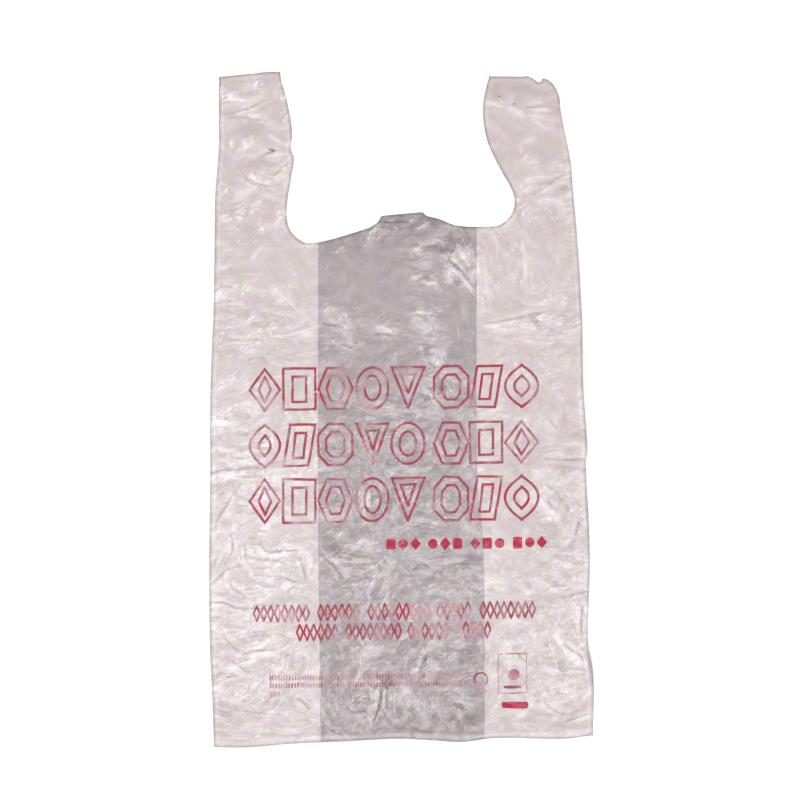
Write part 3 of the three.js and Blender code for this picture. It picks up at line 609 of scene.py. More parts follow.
# Patches of painted highlight, where the film looks white, and of painted shade, where it looks dark,
# standing in part for plies that have parted and plies that cling together. For each such place its strength,
# its middle and half sizes in the photograph's pixels, and its turn in degrees.
LIGHT_AND_SHADE_PATCHES = [
    # Left handle.
    (1.0, (234, 98), (6, 5), 0), (0.5, (235, 106), (12, 3.5), -5), (0.5, (250, 114.5), (15, 1.2), 3),
    (0.5, (277, 95), (9, 2.5), 75), (-0.4, (251, 129), (14, 9), 10), (1.4, (277, 140), (9, 2), 30),
    (0.9, (254, 155), (12, 2.2), -10), (-0.4, (260, 166), (15, 6), 0), (1.1, (246, 192), (12, 4), -25),
    (0.5, (264, 184), (11, 1.5), 15), (0.9, (236, 201), (12, 2), -18), (0.9, (270, 197), (14, 2.5), 22),
    (0.5, (272, 226), (13, 2.5), 10), (0.4, (236, 231), (9, 2), 0), (-0.4, (234, 214), (18, 6), 10),
    (-0.3, (281, 112), (4, 14), 0),
    # Right handle.
    (1.4, (494, 105), (10, 1.8), 18), (1.2, (516, 112), (9, 4), 15), (1.5, (541, 110.5), (10, 1.5), 2),
    (1.5, (537, 116), (9, 1.8), 5), (1.3, (541, 126.5), (9, 1.7), 30), (1.1, (534, 163), (5, 2), 0),
    (1.4, (528, 179.5), (4.5, 2.2), 15), (1.1, (542, 178), (9, 1.9), -5), (0.9, (553, 188), (18, 2.6), -25),
    (1.5, (526, 191.5), (2.8, 2.4), 0), (0.9, (538, 201), (8, 2), -20), (-0.7, (554, 97), (12, 1), 65),
    (-0.4, (560, 119), (14, 3), 80), (-0.3, (514, 90), (24, 11), 5), (-0.4, (499, 165), (6, 48), -20),
    (-0.3, (512, 205), (9, 12), -30), (-0.25, (525, 145), (22, 12), 0),
    # Chest.
    (-0.3, (402, 222), (38, 8), 0), (1.0, (417, 251), (6, 3.5), 40), (0.6, (433, 242), (11, 2.5), -12),
    (0.8, (464, 254), (9, 7), 30), (0.6, (455, 274), (6, 7), 40), (-0.5, (437, 249), (11, 3.5), 5),
    (1.3, (417, 277), (6, 2), -25), (1.3, (430, 283), (8, 1.8), 8), (1.3, (423.5, 226), (7, 1.5), -30),
    (1.1, (461, 266), (14, 1.4), 40), (1.1, (468, 286), (13, 1.3), 54), (0.3, (475, 272), (26, 18), 35),
    (0.5, (334, 316), (15, 8), 0), (0.9, (386, 329), (13, 3.2), 12), (0.6, (424, 325), (14, 8), 20),
    (0.9, (436, 353), (9, 3), 15), (0.4, (455, 268), (8, 8), 0), (0.6, (508, 327), (21, 5), 5),
    (0.8, (524, 262), (24, 1.9), 83), (0.5, (487, 285), (34, 2.3), 80), (0.4, (304, 363), (14, 3), 0),
    (1.3, (423.5, 313), (12.5, 1.6), 1), (0.5, (344, 331), (11, 7), 0), (0.8, (288, 334.5), (22, 1.3), -9),
    (0.7, (311, 329), (11, 1.5), -14), (0.5, (235, 344.5), (24, 1.0), -3), (0.7, (283, 298), (16, 1.1), 40),
    (0.6, (302, 313), (14, 1.1), 35), (0.5, (300, 318.5), (18, 1.1), 10), (0.7, (222, 296), (8, 1.5), -15),
    (0.7, (228, 301.5), (9, 1.1), -8), (0.6, (236, 304.5), (8, 1.1), -8), (0.5, (252, 274.5), (9, 1.1), 3),
    (0.6, (239, 261), (5, 1.3), 30), (0.6, (548, 337.5), (32, 1.1), 1), (0.5, (500, 328), (14, 3), -4),
    (0.6, (419, 385), (18, 13), 10), (0.5, (452, 375), (9, 10), 40), (0.4, (326, 366), (11, 8), 0),
    # Round the print.
    (0.6, (390, 412), (14, 6), 0), (0.35, (515, 379), (22, 8), 0), (-0.3, (569, 430), (12, 55), 5),
    (-0.4, (225, 466), (20, 5), -20), (0.3, (512, 500), (30, 15), 0), (0.6, (333, 516), (11, 8), 0),
    (0.8, (313, 544), (8, 4), 10), (-0.5, (331, 551), (9, 6), 0), (-0.4, (470, 562), (10, 7), 0),
    (-0.3, (520, 575), (18, 16), 0), (-0.5, (432, 583), (14, 5), -25), (1.0, (495, 582), (13, 7), 35),
    # Lower part.
    (0.5, (432, 622), (13, 15), 0), (0.6, (430, 548), (13, 9), 0), (0.4, (431, 645), (12, 8), 0),
    (-0.5, (471, 641), (5, 17), 0), (0.6, (312, 665), (7, 12), 0), (0.7, (371, 650), (10, 6), 0),
    (-0.2, (337, 655), (14, 9), 0), (-0.3, (508, 668), (9, 17), 0), (0.7, (401, 695), (10, 12), 10),
    (0.5, (361, 677), (5, 24), 5), (-0.4, (312, 714), (8, 5), 0), (-0.4, (415, 731), (22, 5), 0),
    (-0.5, (464, 719), (15, 9), 0), (-0.3, (326, 717), (12, 5), 25),
    # Broad differences between one side and the other.
    (0.12, (250, 520), (70, 120), 0), (-0.26, (548, 480), (52, 130), 0), (0.14, (397, 300), (76, 66), 0),
    (-0.1, (397, 700), (80, 40), 0),
]
PATCH_EDGE = 0.28
RAGGED_FROM = 6.0
RAGGEDNESS = 0.0020
SKIRT_WHITENING = 0.7
DRAWN_STREAKS = 0.05
HANDLE_DARKENING = 0.38
ragged_x = RAGGEDNESS * soft_waves(0.003, 72)
ragged_y = RAGGEDNESS * soft_waves(0.003, 73)


def patch_shares(patches):
    """The sum of the strengths of the patches at each place, easing off over each patch's edge. A broad
    patch has a ragged outline, and a narrow one is a nearly straight streak."""
    total = np.zeros_like(grid_x)
    for strength, middle, (half_long, half_wide), turn in patches:
        middle_x, middle_y = from_pixel(*middle)
        heading = math.radians(-turn)
        raggedness = min(half_wide / RAGGED_FROM, 1)
        off_x = grid_x - middle_x + raggedness * ragged_x
        off_y = grid_y - middle_y + raggedness * ragged_y
        along = off_x * math.cos(heading) + off_y * math.sin(heading)
        aside = off_y * math.cos(heading) - off_x * math.sin(heading)
        from_middle = np.hypot(along * PIXELS_PER_METRE / half_long, aside * PIXELS_PER_METRE / half_wide)
        total += strength * np.clip((1 + PATCH_EDGE - from_middle) / (2 * PATCH_EDGE), 0, 1)
    return total


# The film's colour also takes up a whiter skirt, faint streaks and darker handles, and the painted highlights
# and painted shade of the patches.
streaks = soft_waves(0.0035, 71, 0.15)
lifted = SKIRT_WHITENING * skirt + DRAWN_STREAKS * streaks - HANDLE_DARKENING * in_handles
lifted += patch_shares(LIGHT_AND_SHADE_PATCHES)

# Where the film is finely crumpled, and where it is smooth, in the same form.
CRUMPLED_PATCHES = [
    # Handles.
    (-0.4, (250, 130), (38, 40), 0), (-0.2, (250, 192), (34, 26), 0), (-0.2, (514, 110), (28, 9), 20),
    (-0.5, (520, 140), (36, 40), 0), (-0.3, (512, 86), (28, 10), 0),
    # Chest.
    (-0.3, (276, 262), (34, 24), 0), (-0.4, (368, 278), (44, 26), 0), (0.5, (421, 263), (13, 22), 0),
    (1.2, (461, 262), (17, 24), 0), (0.9, (425, 316), (14, 9), 0), (0.5, (344, 338), (18, 20), 0),
    (0.5, (386, 328), (12, 9), 0), (-0.3, (548, 260), (22, 28), 0), (0.5, (556, 326), (28, 12), 0),
    (0.3, (500, 330), (18, 9), 0), (0.7, (431, 372), (16, 36), 0), (0.3, (250, 335), (60, 30), 0),
    (0.3, (545, 300), (36, 30), 0), (0.3, (520, 370), (30, 20), 0),
    # Round the print.
    (-0.3, (558, 415), (20, 50), 0), (0.35, (398, 500), (78, 110), 0), (0.4, (240, 462), (36, 46), 0),
    (-0.4, (517, 552), (22, 38), 0), (0.5, (343, 556), (18, 12), 0), (0.5, (372, 505), (12, 20), 0),
    # Lower part.
    (0.4, (400, 662), (80, 62), 0), (0.3, (260, 645), (50, 95), 0), (0.5, (515, 668), (18, 30), 0),
    (0.5, (370, 690), (20, 22), 0), (0.5, (430, 655), (16, 26), 0), (0.5, (562, 610), (26, 120), 0),
]
CRUMPLED_BASE = 0.34
CRUMPLED_BY_HAZE = 0.60
FULL_HAZE = 1.2
CRUMPLED_RANGE = (0.12, 2.0)
crumpled = CRUMPLED_BASE + CRUMPLED_BY_HAZE * np.clip(haze / FULL_HAZE, 0, 1) + patch_shares(CRUMPLED_PATCHES)
crumpled = np.clip(soften(crumpled, 0.003), *CRUMPLED_RANGE)

# Which way the fine crumpling runs: along the creases near it. For each of three directions, its share.
GRAIN_TURNS = (0, 60, 120)
GRAIN_REACH = 0.005
GRAIN_BASE = 0.35
GRAIN_MATCH = 0.9
GRAIN_WAVES = 0.25
grain_total = soften(squeeze_total, GRAIN_REACH) + 0.3
grain_cosine = soften(squeeze_yy - squeeze_xx, GRAIN_REACH) / grain_total
grain_sine = soften(-2 * squeeze_xy, GRAIN_REACH) / grain_total
grains = {}
for grain_turn in GRAIN_TURNS:
    double_turn = math.radians(2 * grain_turn)
    match = grain_cosine * math.cos(double_turn) + grain_sine * math.sin(double_turn)
    waves = soft_waves(0.012, 80 + grain_turn)
    grains[f"grain_{grain_turn}"] = np.clip(GRAIN_BASE + GRAIN_MATCH * match + GRAIN_WAVES * waves, 0, 1)

# The film's mesh: one skin that runs from the front panel round the folds and gussets to the back. Layers
# are counted up from the back panel, which is 0, so the front panel is 3 over a gusset and 1 between them.
LAYER_SPACING = 0.00045
SEALED_SPACING = 0.00006
LOWEST_LAYER = 0.3
LOWEST_FOLLOW = 0.4
FOLLOW_PER_LAYER = 0.2
FOLD_ROUNDING = 0.0004
FRONT_STEP = 0.00146
ROWS = 2 * round(BAG_LENGTH / FRONT_STEP / 2)
SIDE_COLUMNS = 13
BACK_COLUMNS = 58
FRONT_GUSSET_COLUMNS = round(GUSSET_DEPTH / FRONT_STEP)
FRONT_MIDDLE_COLUMNS = round((FLAT_WIDTH - 2 * GUSSET_DEPTH) / FRONT_STEP)
PLY_EDGE = 0.0012
PLY_BLEND = 0.0016
SNAP_REACH = 0.52 * FRONT_STEP

cut_outline = np.vstack([smooth_line(LEFT_CUT), smooth_line(TAB_CUT, 1), smooth_line(RIGHT_CUT)])
torn_outline = smooth_line(TORN_CUT, 1)
row_share = np.linspace(0, 1, ROWS + 1)
nominal_y = -BAG_LENGTH / 2 + BAG_LENGTH * row_share
left_side, left_gusset, right_gusset, right_side = (
    side_at(line, nominal_y) for line in (LEFT_SIDE, LEFT_GUSSET, RIGHT_GUSSET, RIGHT_SIDE))
points = []
plies = []
faces = []


def cut_film(across, along):
    """Moves the points that lie nearest a cut onto it. Gives the places, which points are cut away, and
    which lie on a cut."""
    spots = np.stack([across, along], -1)
    gone = np.zeros(across.shape, bool)
    on_edge = np.zeros(across.shape, bool)
    for outline in (cut_outline, torn_outline):
        low = outline.min(0) - 2 * FRONT_STEP
        high = outline.max(0) + 2 * FRONT_STEP
        near = ((spots > low) & (spots < high)).all(-1)
        tested = spots[near]
        crossings = np.zeros(len(tested), int)
        nearest = np.full(len(tested), np.inf)
        landing = tested.copy()
        for (sx, sy), (ex, ey) in zip(outline, np.roll(outline, -1, 0)):
            spans = (sy > tested[:, 1]) != (ey > tested[:, 1])
            if ey != sy:
                meets = sx + (tested[:, 1] - sy) * (ex - sx) / (ey - sy)
                crossings += spans & (tested[:, 0] < meets)
            edge = np.array((ex - sx, ey - sy))
            share = np.clip(((tested - (sx, sy)) @ edge) / max(edge @ edge, 1e-12), 0, 1)
            foot = (sx, sy) + share[:, None] * edge
            distance = np.linalg.norm(tested - foot, axis=1)
            closer = distance < nearest
            nearest = np.where(closer, distance, nearest)
            landing[closer] = foot[closer]
        snapped = nearest < SNAP_REACH
        tested[snapped] = landing[snapped]
        spots[near] = tested
        gone[near] |= (crossings % 2 == 1) & ~snapped
        on_edge[near] |= snapped
    return spots[..., 0], spots[..., 1], gone, on_edge


def on_gusset(across, along):
    """1 where a gusset lies between the panels, and 0 in the middle, where only two layers lie."""
    inside = np.maximum(side_at(LEFT_GUSSET, along) - across, across - side_at(RIGHT_GUSSET, along))
    t = np.clip(inside / PLY_BLEND + 0.5, 0, 1)
    return t * t * (3 - 2 * t)


def stack_height(across, along, layer, follow, skin):
    """The height of a layer. follow is how far it takes up the relief where it isn't sealed."""
    fused = seal_share(across, along)
    spacing = LAYER_SPACING * (1 - fused) + SEALED_SPACING * fused
    share = follow * (1 - fused) + fused
    return spacing * (layer + LOWEST_LAYER) + share * sample(skin, across, along)


def follow_at(layer):
    """How far a layer takes up the relief: a low one less than a high one."""
    return LOWEST_FOLLOW + FOLLOW_PER_LAYER * layer


def columns_between(start, end, count, first_gap, last_gap):
    """Evenly spaced columns, from a gap inside the start to a gap inside the end."""
    share = np.linspace(0, 1, count + 1)[None, :]
    return (start + first_gap)[:, None] * (1 - share) + (end - last_gap)[:, None] * share


def add_layer(columns, rows, layer, ply, folds, follow=None, skin=under_relief):
    """Adds a layer's points, and gives their numbers, which of them are cut away, and which lie on a cut.
    Each row follows the bottom edge at its foot and the handle tops at its head. layer and ply are numbers,
    or functions of the place, and a column that lies on a fold has a layer of its own in folds."""
    share = rows[:, None]
    x, y, gone, on_edge = cut_film(columns, end_at(BOTTOM_SIDE, columns) * (1 - share)
                                   + end_at(TOP_SIDE, columns) * share)
    layer = layer(x, y) if callable(layer) else layer
    z = stack_height(x, y, layer, follow_at(layer) if follow is None else follow, skin)
    for column, fold_layer in folds.items():
        z[:, column] = stack_height(x[:, column], y[:, column], fold_layer, follow_at(fold_layer),
                                    under_relief)
    start = sum(len(part) for part in points)
    points.append(np.column_stack([x.ravel(), y.ravel(), z.ravel()]))
    plies.append(np.broadcast_to(ply(x, y) if callable(ply) else ply, x.shape).ravel())
    return start + np.arange(x.size).reshape(x.shape), gone, on_edge


def add_faces(layer, flipped=False):
    """Joins a layer's points into faces, leaving out what the die took away."""
    layer = [part[:, ::-1] if flipped else part for part in layer]
    corner, lost, edge = ([part[:-1, :-1], part[:-1, 1:], part[1:, 1:], part[1:, :-1]] for part in layer)
    lost_count = sum(part.astype(int) for part in lost)
    whole = (lost_count == 0) & ~(edge[0] & edge[1] & edge[2] & edge[3])
    faces.extend(np.stack([part[whole] for part in corner], -1).tolist())
    for k in range(4):
        kept = [(k + 1) % 4, (k + 2) % 4, (k + 3) % 4]
        clipped = (lost_count == 1) & lost[k] & ~(edge[kept[0]] & edge[kept[1]] & edge[kept[2]])
        faces.extend(np.stack([corner[n][clipped] for n in kept], -1).tolist())


def side_by_side(*layers):
    """Layers, or columns of them, joined into one."""
    return [np.hstack(parts) for parts in zip(*layers)]


def zip_columns(fine, fine_gone, coarse, flipped):
    """Joins a column of points to one with half as many, along an outer fold."""
    way = -1 if flipped else 1
    for row in range(0, len(fine) - 2, 2):
        if fine_gone[row:row + 3].any():
            continue
        low, high = coarse[row // 2], coarse[row // 2 + 1]
        faces.append([fine[row], fine[row + 1], low][::way])
        faces.append([fine[row + 1], high, low][::way])
        faces.append([fine[row + 1], fine[row + 2], high][::way])


def add_gusset(side, gusset, front_column, inward):
    """The two leaves of a gusset, on every other row, joined to the front panel's outer column. Gives the
    lower leaf's outer column, which the back panel is joined to."""
    front_numbers, front_gone = (part[:, front_column] for part in front[:2])
    outer, inner = side[::2], gusset[::2]
    gap = inward * FOLD_ROUNDING
    ruled = columns_between(outer, inner, SIDE_COLUMNS, gap, gap)
    upper = add_layer(np.hstack([ruled, inner[:, None]]), half_rows, 2, 1.0, folds={-1: 1.5})
    add_faces(upper, flipped=inward > 0)
    zip_columns(front_numbers, front_gone, upper[0][:, 0], flipped=inward < 0)
    lower = add_layer(np.hstack([outer[:, None], ruled]), half_rows, 1, 1.0, folds={0: 0.5})
    add_faces(side_by_side(lower, [part[:, -1:] for part in upper]), flipped=inward < 0)
    return [part[:, :1] for part in lower]


# Front panel, with a column on each outer fold and a tight pair at the edge of each gusset below.
front_columns = np.hstack([
    left_side[:, None],
    columns_between(left_side, left_gusset, FRONT_GUSSET_COLUMNS, FOLD_ROUNDING, PLY_EDGE / 2),
    columns_between(left_gusset, right_gusset, FRONT_MIDDLE_COLUMNS, PLY_EDGE / 2, PLY_EDGE / 2),
    columns_between(right_gusset, right_side, FRONT_GUSSET_COLUMNS, PLY_EDGE / 2, FOLD_ROUNDING),
    right_side[:, None],
])
front_ply = np.ones(front_columns.shape[1])
middle_start = FRONT_GUSSET_COLUMNS + 2
front_ply[middle_start:middle_start + FRONT_MIDDLE_COLUMNS + 1] = 0.0
front = add_layer(front_columns, row_share, lambda x, y: 1 + 2 * on_gusset(x, y), front_ply,
                  folds={0: 2.5, -1: 2.5}, follow=1.0, skin=relief)
add_faces(front)

# Gusset leaves and back panel, on every other row.
half_rows = row_share[::2]
left_tip = add_gusset(left_side, left_gusset, 0, 1)
right_tip = add_gusset(right_side, right_gusset, -1, -1)
back_columns = columns_between(left_side[::2], right_side[::2], BACK_COLUMNS, FOLD_ROUNDING, FOLD_ROUNDING)
back = add_layer(back_columns, half_rows, 0, on_gusset, folds={})
add_faces(side_by_side(left_tip, back, right_tip), flipped=True)

film_points = np.vstack(points)
film_mesh = bpy.data.meshes.new("bag_film")
film_mesh.from_pydata(film_points.tolist(), [], faces)
film_places = film_points[:, :2].T

# What the finish needs to know of each of the mesh's points. The small dark marks on the handles are drawn as
# creases that are very deep, which the material darkens with painted shade.
CREASE_REACH = 0.0028
CREASE_FADE = 1.5
UPPER_RIGHT = (0.85, 0.5)
MARK_STRENGTH = -3.4
DARK_MARKS = [((267.5, 149), (272, 150.5), (276.5, 151.5)),
              ((498, 96.5), (500.5, 97.2)),
              ((513, 104), (515.5, 104.5))]
RIM_WIDTH = 0.0008
SHOULDER_HIGHLIGHT = 0.3
SHOULDER_OFF = 4 * RIM_WIDTH
SHARP_CREASE = math.radians(13)
SAME_PLACE = 1e-7


def crease_profile(across, along):
    """For any places, how far off the nearest crease they lie, in millimetres, above 0 on its upper left
    side, and how strong that crease is, negative for a groove. A mesh can carry these, and the material
    can then draw each crease much finer than the mesh."""
    off = np.full(across.shape, CREASE_REACH)
    rise = np.zeros(across.shape)
    lines = [(depth / USUAL_CREASE, line) for depth, spread, line in crease_lines]
    for strength, line in lines + [(MARK_STRENGTH, smooth_line(places, 2)) for places in DARK_MARKS]:
        near, away, side, place = near_line(across, along, line, CREASE_REACH)
        closer = away < np.abs(off[near])
        taper = np.clip(1 - (2 * place - 1) ** 2, 0, None) ** 0.5
        fade = np.clip(CREASE_FADE * (1 - away / CREASE_REACH), 0, 1)
        picked = tuple(index[closer] for index in near)
        # Which side counts as upper left decides where a crease's painted flank shade or painted flank
        # highlight falls.
        rightward = 1 if (line[-1] - line[0]) @ UPPER_RIGHT > 0 else -1
        off[picked] = (away * side * rightward)[closer]
        rise[picked] = (strength * taper * fade)[closer]
    return off / 0.001, rise


def rim_share(across, along):
    """1 on a fold or a cut edge, where the film turns away and gets painted shade, and just inside it a
    little less than 0, where the fold's rounded shoulder gets a painted highlight."""
    away = np.minimum(across - side_at(LEFT_SIDE, along), side_at(RIGHT_SIDE, along) - across)
    away = np.minimum(away, np.minimum(along - end_at(BOTTOM_SIDE, across), end_at(TOP_SIDE, across) - along))
    away = np.clip(away, 0, None)
    for outline in (cut_outline, torn_outline):
        near, from_cut, side, place = near_line(across, along, outline, 8 * RIM_WIDTH)
        away[near] = np.minimum(away[near], from_cut)
    shoulder = np.exp(-(((away - SHOULDER_OFF) / RIM_WIDTH) ** 2))
    return np.exp(-away / RIM_WIDTH) - SHOULDER_HIGHLIGHT * shoulder


def prepare_mesh(mesh, places, **extra):
    """Writes onto a mesh's points what the fine relief needs and the values given, and smooths its look."""
    off, rise = crease_profile(*places)
    values = {"crease_off": off, "crease_rise": rise, "crumpled": sample(crumpled, *places), **extra}
    values.update((name, sample(grain, *places)) for name, grain in grains.items())
    for name, numbers in values.items():
        attribute = mesh.attributes.new(name, "FLOAT", "POINT")
        attribute.data.foreach_set("value", np.asarray(numbers, np.float32))
    mesh.polygons.foreach_set("use_smooth", [True] * len(mesh.polygons))


def clean_mesh(mesh, facing_up=False):
    """Deletes points that no face uses and faces without area, and turns every face up if asked to."""
    cleaned = bmesh.new()
    cleaned.from_mesh(mesh)
    bmesh.ops.delete(cleaned, geom=[v for v in cleaned.verts if not v.link_faces], context="VERTS")
    bmesh.ops.dissolve_degenerate(cleaned, dist=SAME_PLACE, edges=cleaned.edges)
    for face in cleaned.faces:
        if facing_up and face.normal.z < 0:
            face.normal_flip()
    cleaned.to_mesh(mesh)
    cleaned.free()


prepare_mesh(film_mesh, film_places, plies=np.concatenate(plies), rim=rim_share(*film_places),
             crest=sample(crest, *film_places) / CREST_UNIT, haze=sample(haze, *film_places),
             lifted=sample(lifted, *film_places))
film_mesh.validate()
film_mesh.set_sharp_from_angle(angle=SHARP_CREASE)
film = add_object("bag_film", film_mesh)
clean_mesh(film_mesh)


def feed(tree, socket, value):
    """Gives a socket a plain value, or links it to another node's output."""
    if isinstance(value, bpy.types.NodeSocket):
        tree.links.new(value, socket)
    else:
        socket.default_value = value


def add_node(tree, kind, inputs=(), **settings):
    """A node with its settings, and with values or outputs fed to its inputs."""
    node = tree.nodes.new("ShaderNode" + kind)
    for name, value in settings.items():
        setattr(node, name, value)
    for name, value in dict(inputs).items():
        feed(tree, node.inputs[name], value)
    return node


def calc(tree, operation, *values):
    """A sum on other nodes' outputs and plain numbers."""
    return add_node(tree, "Math", enumerate(values), operation=operation).outputs["Value"]


def map_range(tree, value, from_min, from_max, to_min, to_max):
    """A value moved from one range to another, and kept within it."""
    limits = enumerate((value, from_min, from_max, to_min, to_max))
    return add_node(tree, "MapRange", limits).outputs["Result"]


def mesh_value(tree, name):
    """What the mesh carries under a name."""
    return add_node(tree, "Attribute", attribute_name=name).outputs["Fac"]


def mix_colours(tree, share, first, second, **settings):
    """From the first colour to the second, or another blend of them."""
    sockets = {"Factor": share, "A": first, "B": second}
    return add_node(tree, "Mix", sockets, data_type="RGBA", **settings).outputs["Result"]


def colour_ramp(tree, value, *stops):
    """A run of colours, each at its place from 0 to 1."""
    ramp = add_node(tree, "ValToRGB", {"Fac": value})
    for _ in stops[2:]:
        ramp.color_ramp.elements.new(1.0)
    for number, (place, colour) in enumerate(stops):
        ramp.color_ramp.elements[number].position = place
        ramp.color_ramp.elements[number].color = colour
    return ramp.outputs["Color"]


def falloff(tree, distance, width):
    """1 on a line, and less and less away from it."""
    return calc(tree, "EXPONENT", calc(tree, "MULTIPLY", distance, -1 / width))


def new_material(name):
    """A material with no nodes yet. Gives it and its node tree."""
    made = bpy.data.materials.new(name)
    made.use_nodes = True
    made.node_tree.nodes.clear()
    return made, made.node_tree


def new_group(name, inputs, outputs):
    """A shader node group with named sockets, each Float or Color. Gives it, its input and its output."""
    group = bpy.data.node_groups.new(name, "ShaderNodeTree")
    for sockets, in_out in ((inputs, "INPUT"), (outputs, "OUTPUT")):
        for socket_name, kind in sockets.items():
            group.interface.new_socket(name=socket_name, in_out=in_out, socket_type="NodeSocket" + kind)
    return group, group.nodes.new("NodeGroupInput"), group.nodes.new("NodeGroupOutput")


# The fine relief that film and ink share, and the painted light and shade that the film draws with it. It
# draws each crease as a sharp line from the mesh's crease_off and crease_rise: a ridge gets a painted
# highlight on its crest and painted shade on its lower right flank, and a groove gets painted shade with a
# painted highlight on its lower right flank. It adds crumpled facets of several sizes, some with a painted
# sheen and some with a painted highlight or painted shade along an edge, and gives a faint tint that shifts
# from lilac to green.
LINE_WIDTH = 0.58
SHADED_FLANK_OFF = 1.3
SHADED_FLANK_SHARE = -0.6
LINE_HEIGHT = 0.12
BEND_SCALE = 40.0
BEND_REACH = 0.005
FLATTENED = (1.0, 1.0, 0.0)
crinkle, crinkle_in, crinkle_out = new_group(
    "crinkle", {"Amount": "Float"}, {"Height": "Float", "Line": "Float", "Facet Sheen And Shade": "Float", "Tint": "Color"})
amount = crinkle_in.outputs["Amount"]
crease_off = mesh_value(crinkle, "crease_off")
crease_rise = mesh_value(crinkle, "crease_rise")
crease_line = falloff(crinkle, calc(crinkle, "ABSOLUTE", crease_off), LINE_WIDTH)
shaded_flank_off = calc(crinkle, "ABSOLUTE", calc(crinkle, "ADD", crease_off, SHADED_FLANK_OFF))
shaded_flank = falloff(crinkle, shaded_flank_off, LINE_WIDTH)
crest_light_and_flank_shade = calc(crinkle, "MULTIPLY_ADD", shaded_flank, SHADED_FLANK_SHARE, crease_line)
coordinates = add_node(crinkle, "TexCoord").outputs["Object"]
flat_place = add_node(crinkle, "VectorMath", {0: coordinates, 1: FLATTENED},
                      operation="MULTIPLY").outputs["Vector"]
bend_noise = add_node(crinkle, "TexNoise", {"Vector": flat_place, "Scale": BEND_SCALE, "Detail": 1.0})
bend = add_node(crinkle, "VectorMath", {"Vector": bend_noise.outputs["Color"], "Scale": BEND_REACH},
                operation="SCALE").outputs["Vector"]
bent_place = add_node(crinkle, "VectorMath", {0: flat_place, 1: bend}, operation="ADD").outputs["Vector"]

# Each size of facet has the length and width of one, how high it rises, and how strongly its painted sheen
# and its painted edge highlight and shade show. The long ones lie three ways, each as strong as the mesh's
# share for it.
LONG_FACET = (0.013, 0.0036, 0.80, 1.1)
ROUND_FACET = (0.0056, 0.0032, 0.55, 0.7)
ROUND_TURN = 25
FACET_EDGE_WIDTH = 0.00058
SUNKEN_FACETS = 0.4
SHEEN_POWER = 3.0
MEAN_SHEEN = 0.25
EDGE_POWER = 5.0
SHADED_EDGE_SHARE = -0.7
EDGE_LIGHT_SHARE = 1.2
facet_sets = [(*LONG_FACET, turn, mesh_value(crinkle, f"grain_{turn}")) for turn in GRAIN_TURNS]
facet_height = 0.0
facet_sheen_and_shade = 0.0
for length, width, rise, sheen_strength, turn, strength in facet_sets + [(*ROUND_FACET, ROUND_TURN, 1.0)]:
    turning = {"Vector": bent_place, "Rotation": (0, 0, math.radians(turn)), "Scale": (length, width, 1)}
    turned_place = add_node(crinkle, "Mapping", turning, vector_type="TEXTURE")
    from_edge, cell_colour = (
        add_node(crinkle, "TexVoronoi", {"Scale": 1.0, "Vector": turned_place.outputs["Vector"]},
                 voronoi_dimensions="2D", feature=feature).outputs[output]
        for feature, output in (("DISTANCE_TO_EDGE", "Distance"), ("F1", "Color")))
    red, green, blue = add_node(crinkle, "SeparateColor", {"Color": cell_colour}).outputs
    slope = calc(crinkle, "MULTIPLY_ADD", red, 2 * rise, -2 * SUNKEN_FACETS * rise)
    height = calc(crinkle, "MULTIPLY", from_edge, slope)
    facet_sheen = calc(crinkle, "SUBTRACT", calc(crinkle, "POWER", green, SHEEN_POWER), MEAN_SHEEN)
    highlit_edge = calc(crinkle, "POWER", blue, EDGE_POWER)
    shaded_edge = calc(crinkle, "POWER", calc(crinkle, "SUBTRACT", 1.0, blue), EDGE_POWER)
    edge_light = calc(crinkle, "MULTIPLY", falloff(crinkle, from_edge, FACET_EDGE_WIDTH / width),
                      calc(crinkle, "MULTIPLY_ADD", shaded_edge, SHADED_EDGE_SHARE, highlit_edge))
    light = calc(crinkle, "MULTIPLY_ADD", edge_light, EDGE_LIGHT_SHARE, facet_sheen)
    light = calc(crinkle, "MULTIPLY", light, sheen_strength)
    facet_height = calc(crinkle, "MULTIPLY_ADD", height, strength, facet_height)
    facet_sheen_and_shade = calc(crinkle, "MULTIPLY_ADD", light, strength, facet_sheen_and_shade)

TINT_SCALE = 100.0
GREEN_TINT = (0.965, 1.0, 0.92, 1)
LILAC_TINT = (0.995, 0.955, 1.03, 1)
tint_noise = add_node(crinkle, "TexNoise", {"Vector": flat_place, "Scale": TINT_SCALE, "Detail": 3.0})
whole_height = calc(crinkle, "MULTIPLY", facet_height, amount)
for name, value in {
    "Height": calc(crinkle, "MULTIPLY_ADD", calc(crinkle, "MULTIPLY", crease_line, crease_rise), LINE_HEIGHT,
                   whole_height),
    "Line": calc(crinkle, "MULTIPLY", crest_light_and_flank_shade, crease_rise),
    "Facet Sheen And Shade": calc(crinkle, "MULTIPLY", facet_sheen_and_shade, amount),
    "Tint": colour_ramp(crinkle, tint_noise.outputs["Fac"], (0.34, GREEN_TINT), (0.66, LILAC_TINT)),
}.items():
    feed(crinkle, crinkle_out.inputs[name], value)


def add_crinkle(tree, strength, shader):
    """Puts the fine relief in a material, and gives the group's node."""
    group = add_node(tree, "Group", {"Amount": strength}, node_tree=crinkle)
    bump = add_node(tree, "Bump", {"Strength": 1.0, "Distance": 0.001, "Height": group.outputs["Height"]})
    feed(tree, shader.inputs["Normal"], bump.outputs["Normal"])
    return group


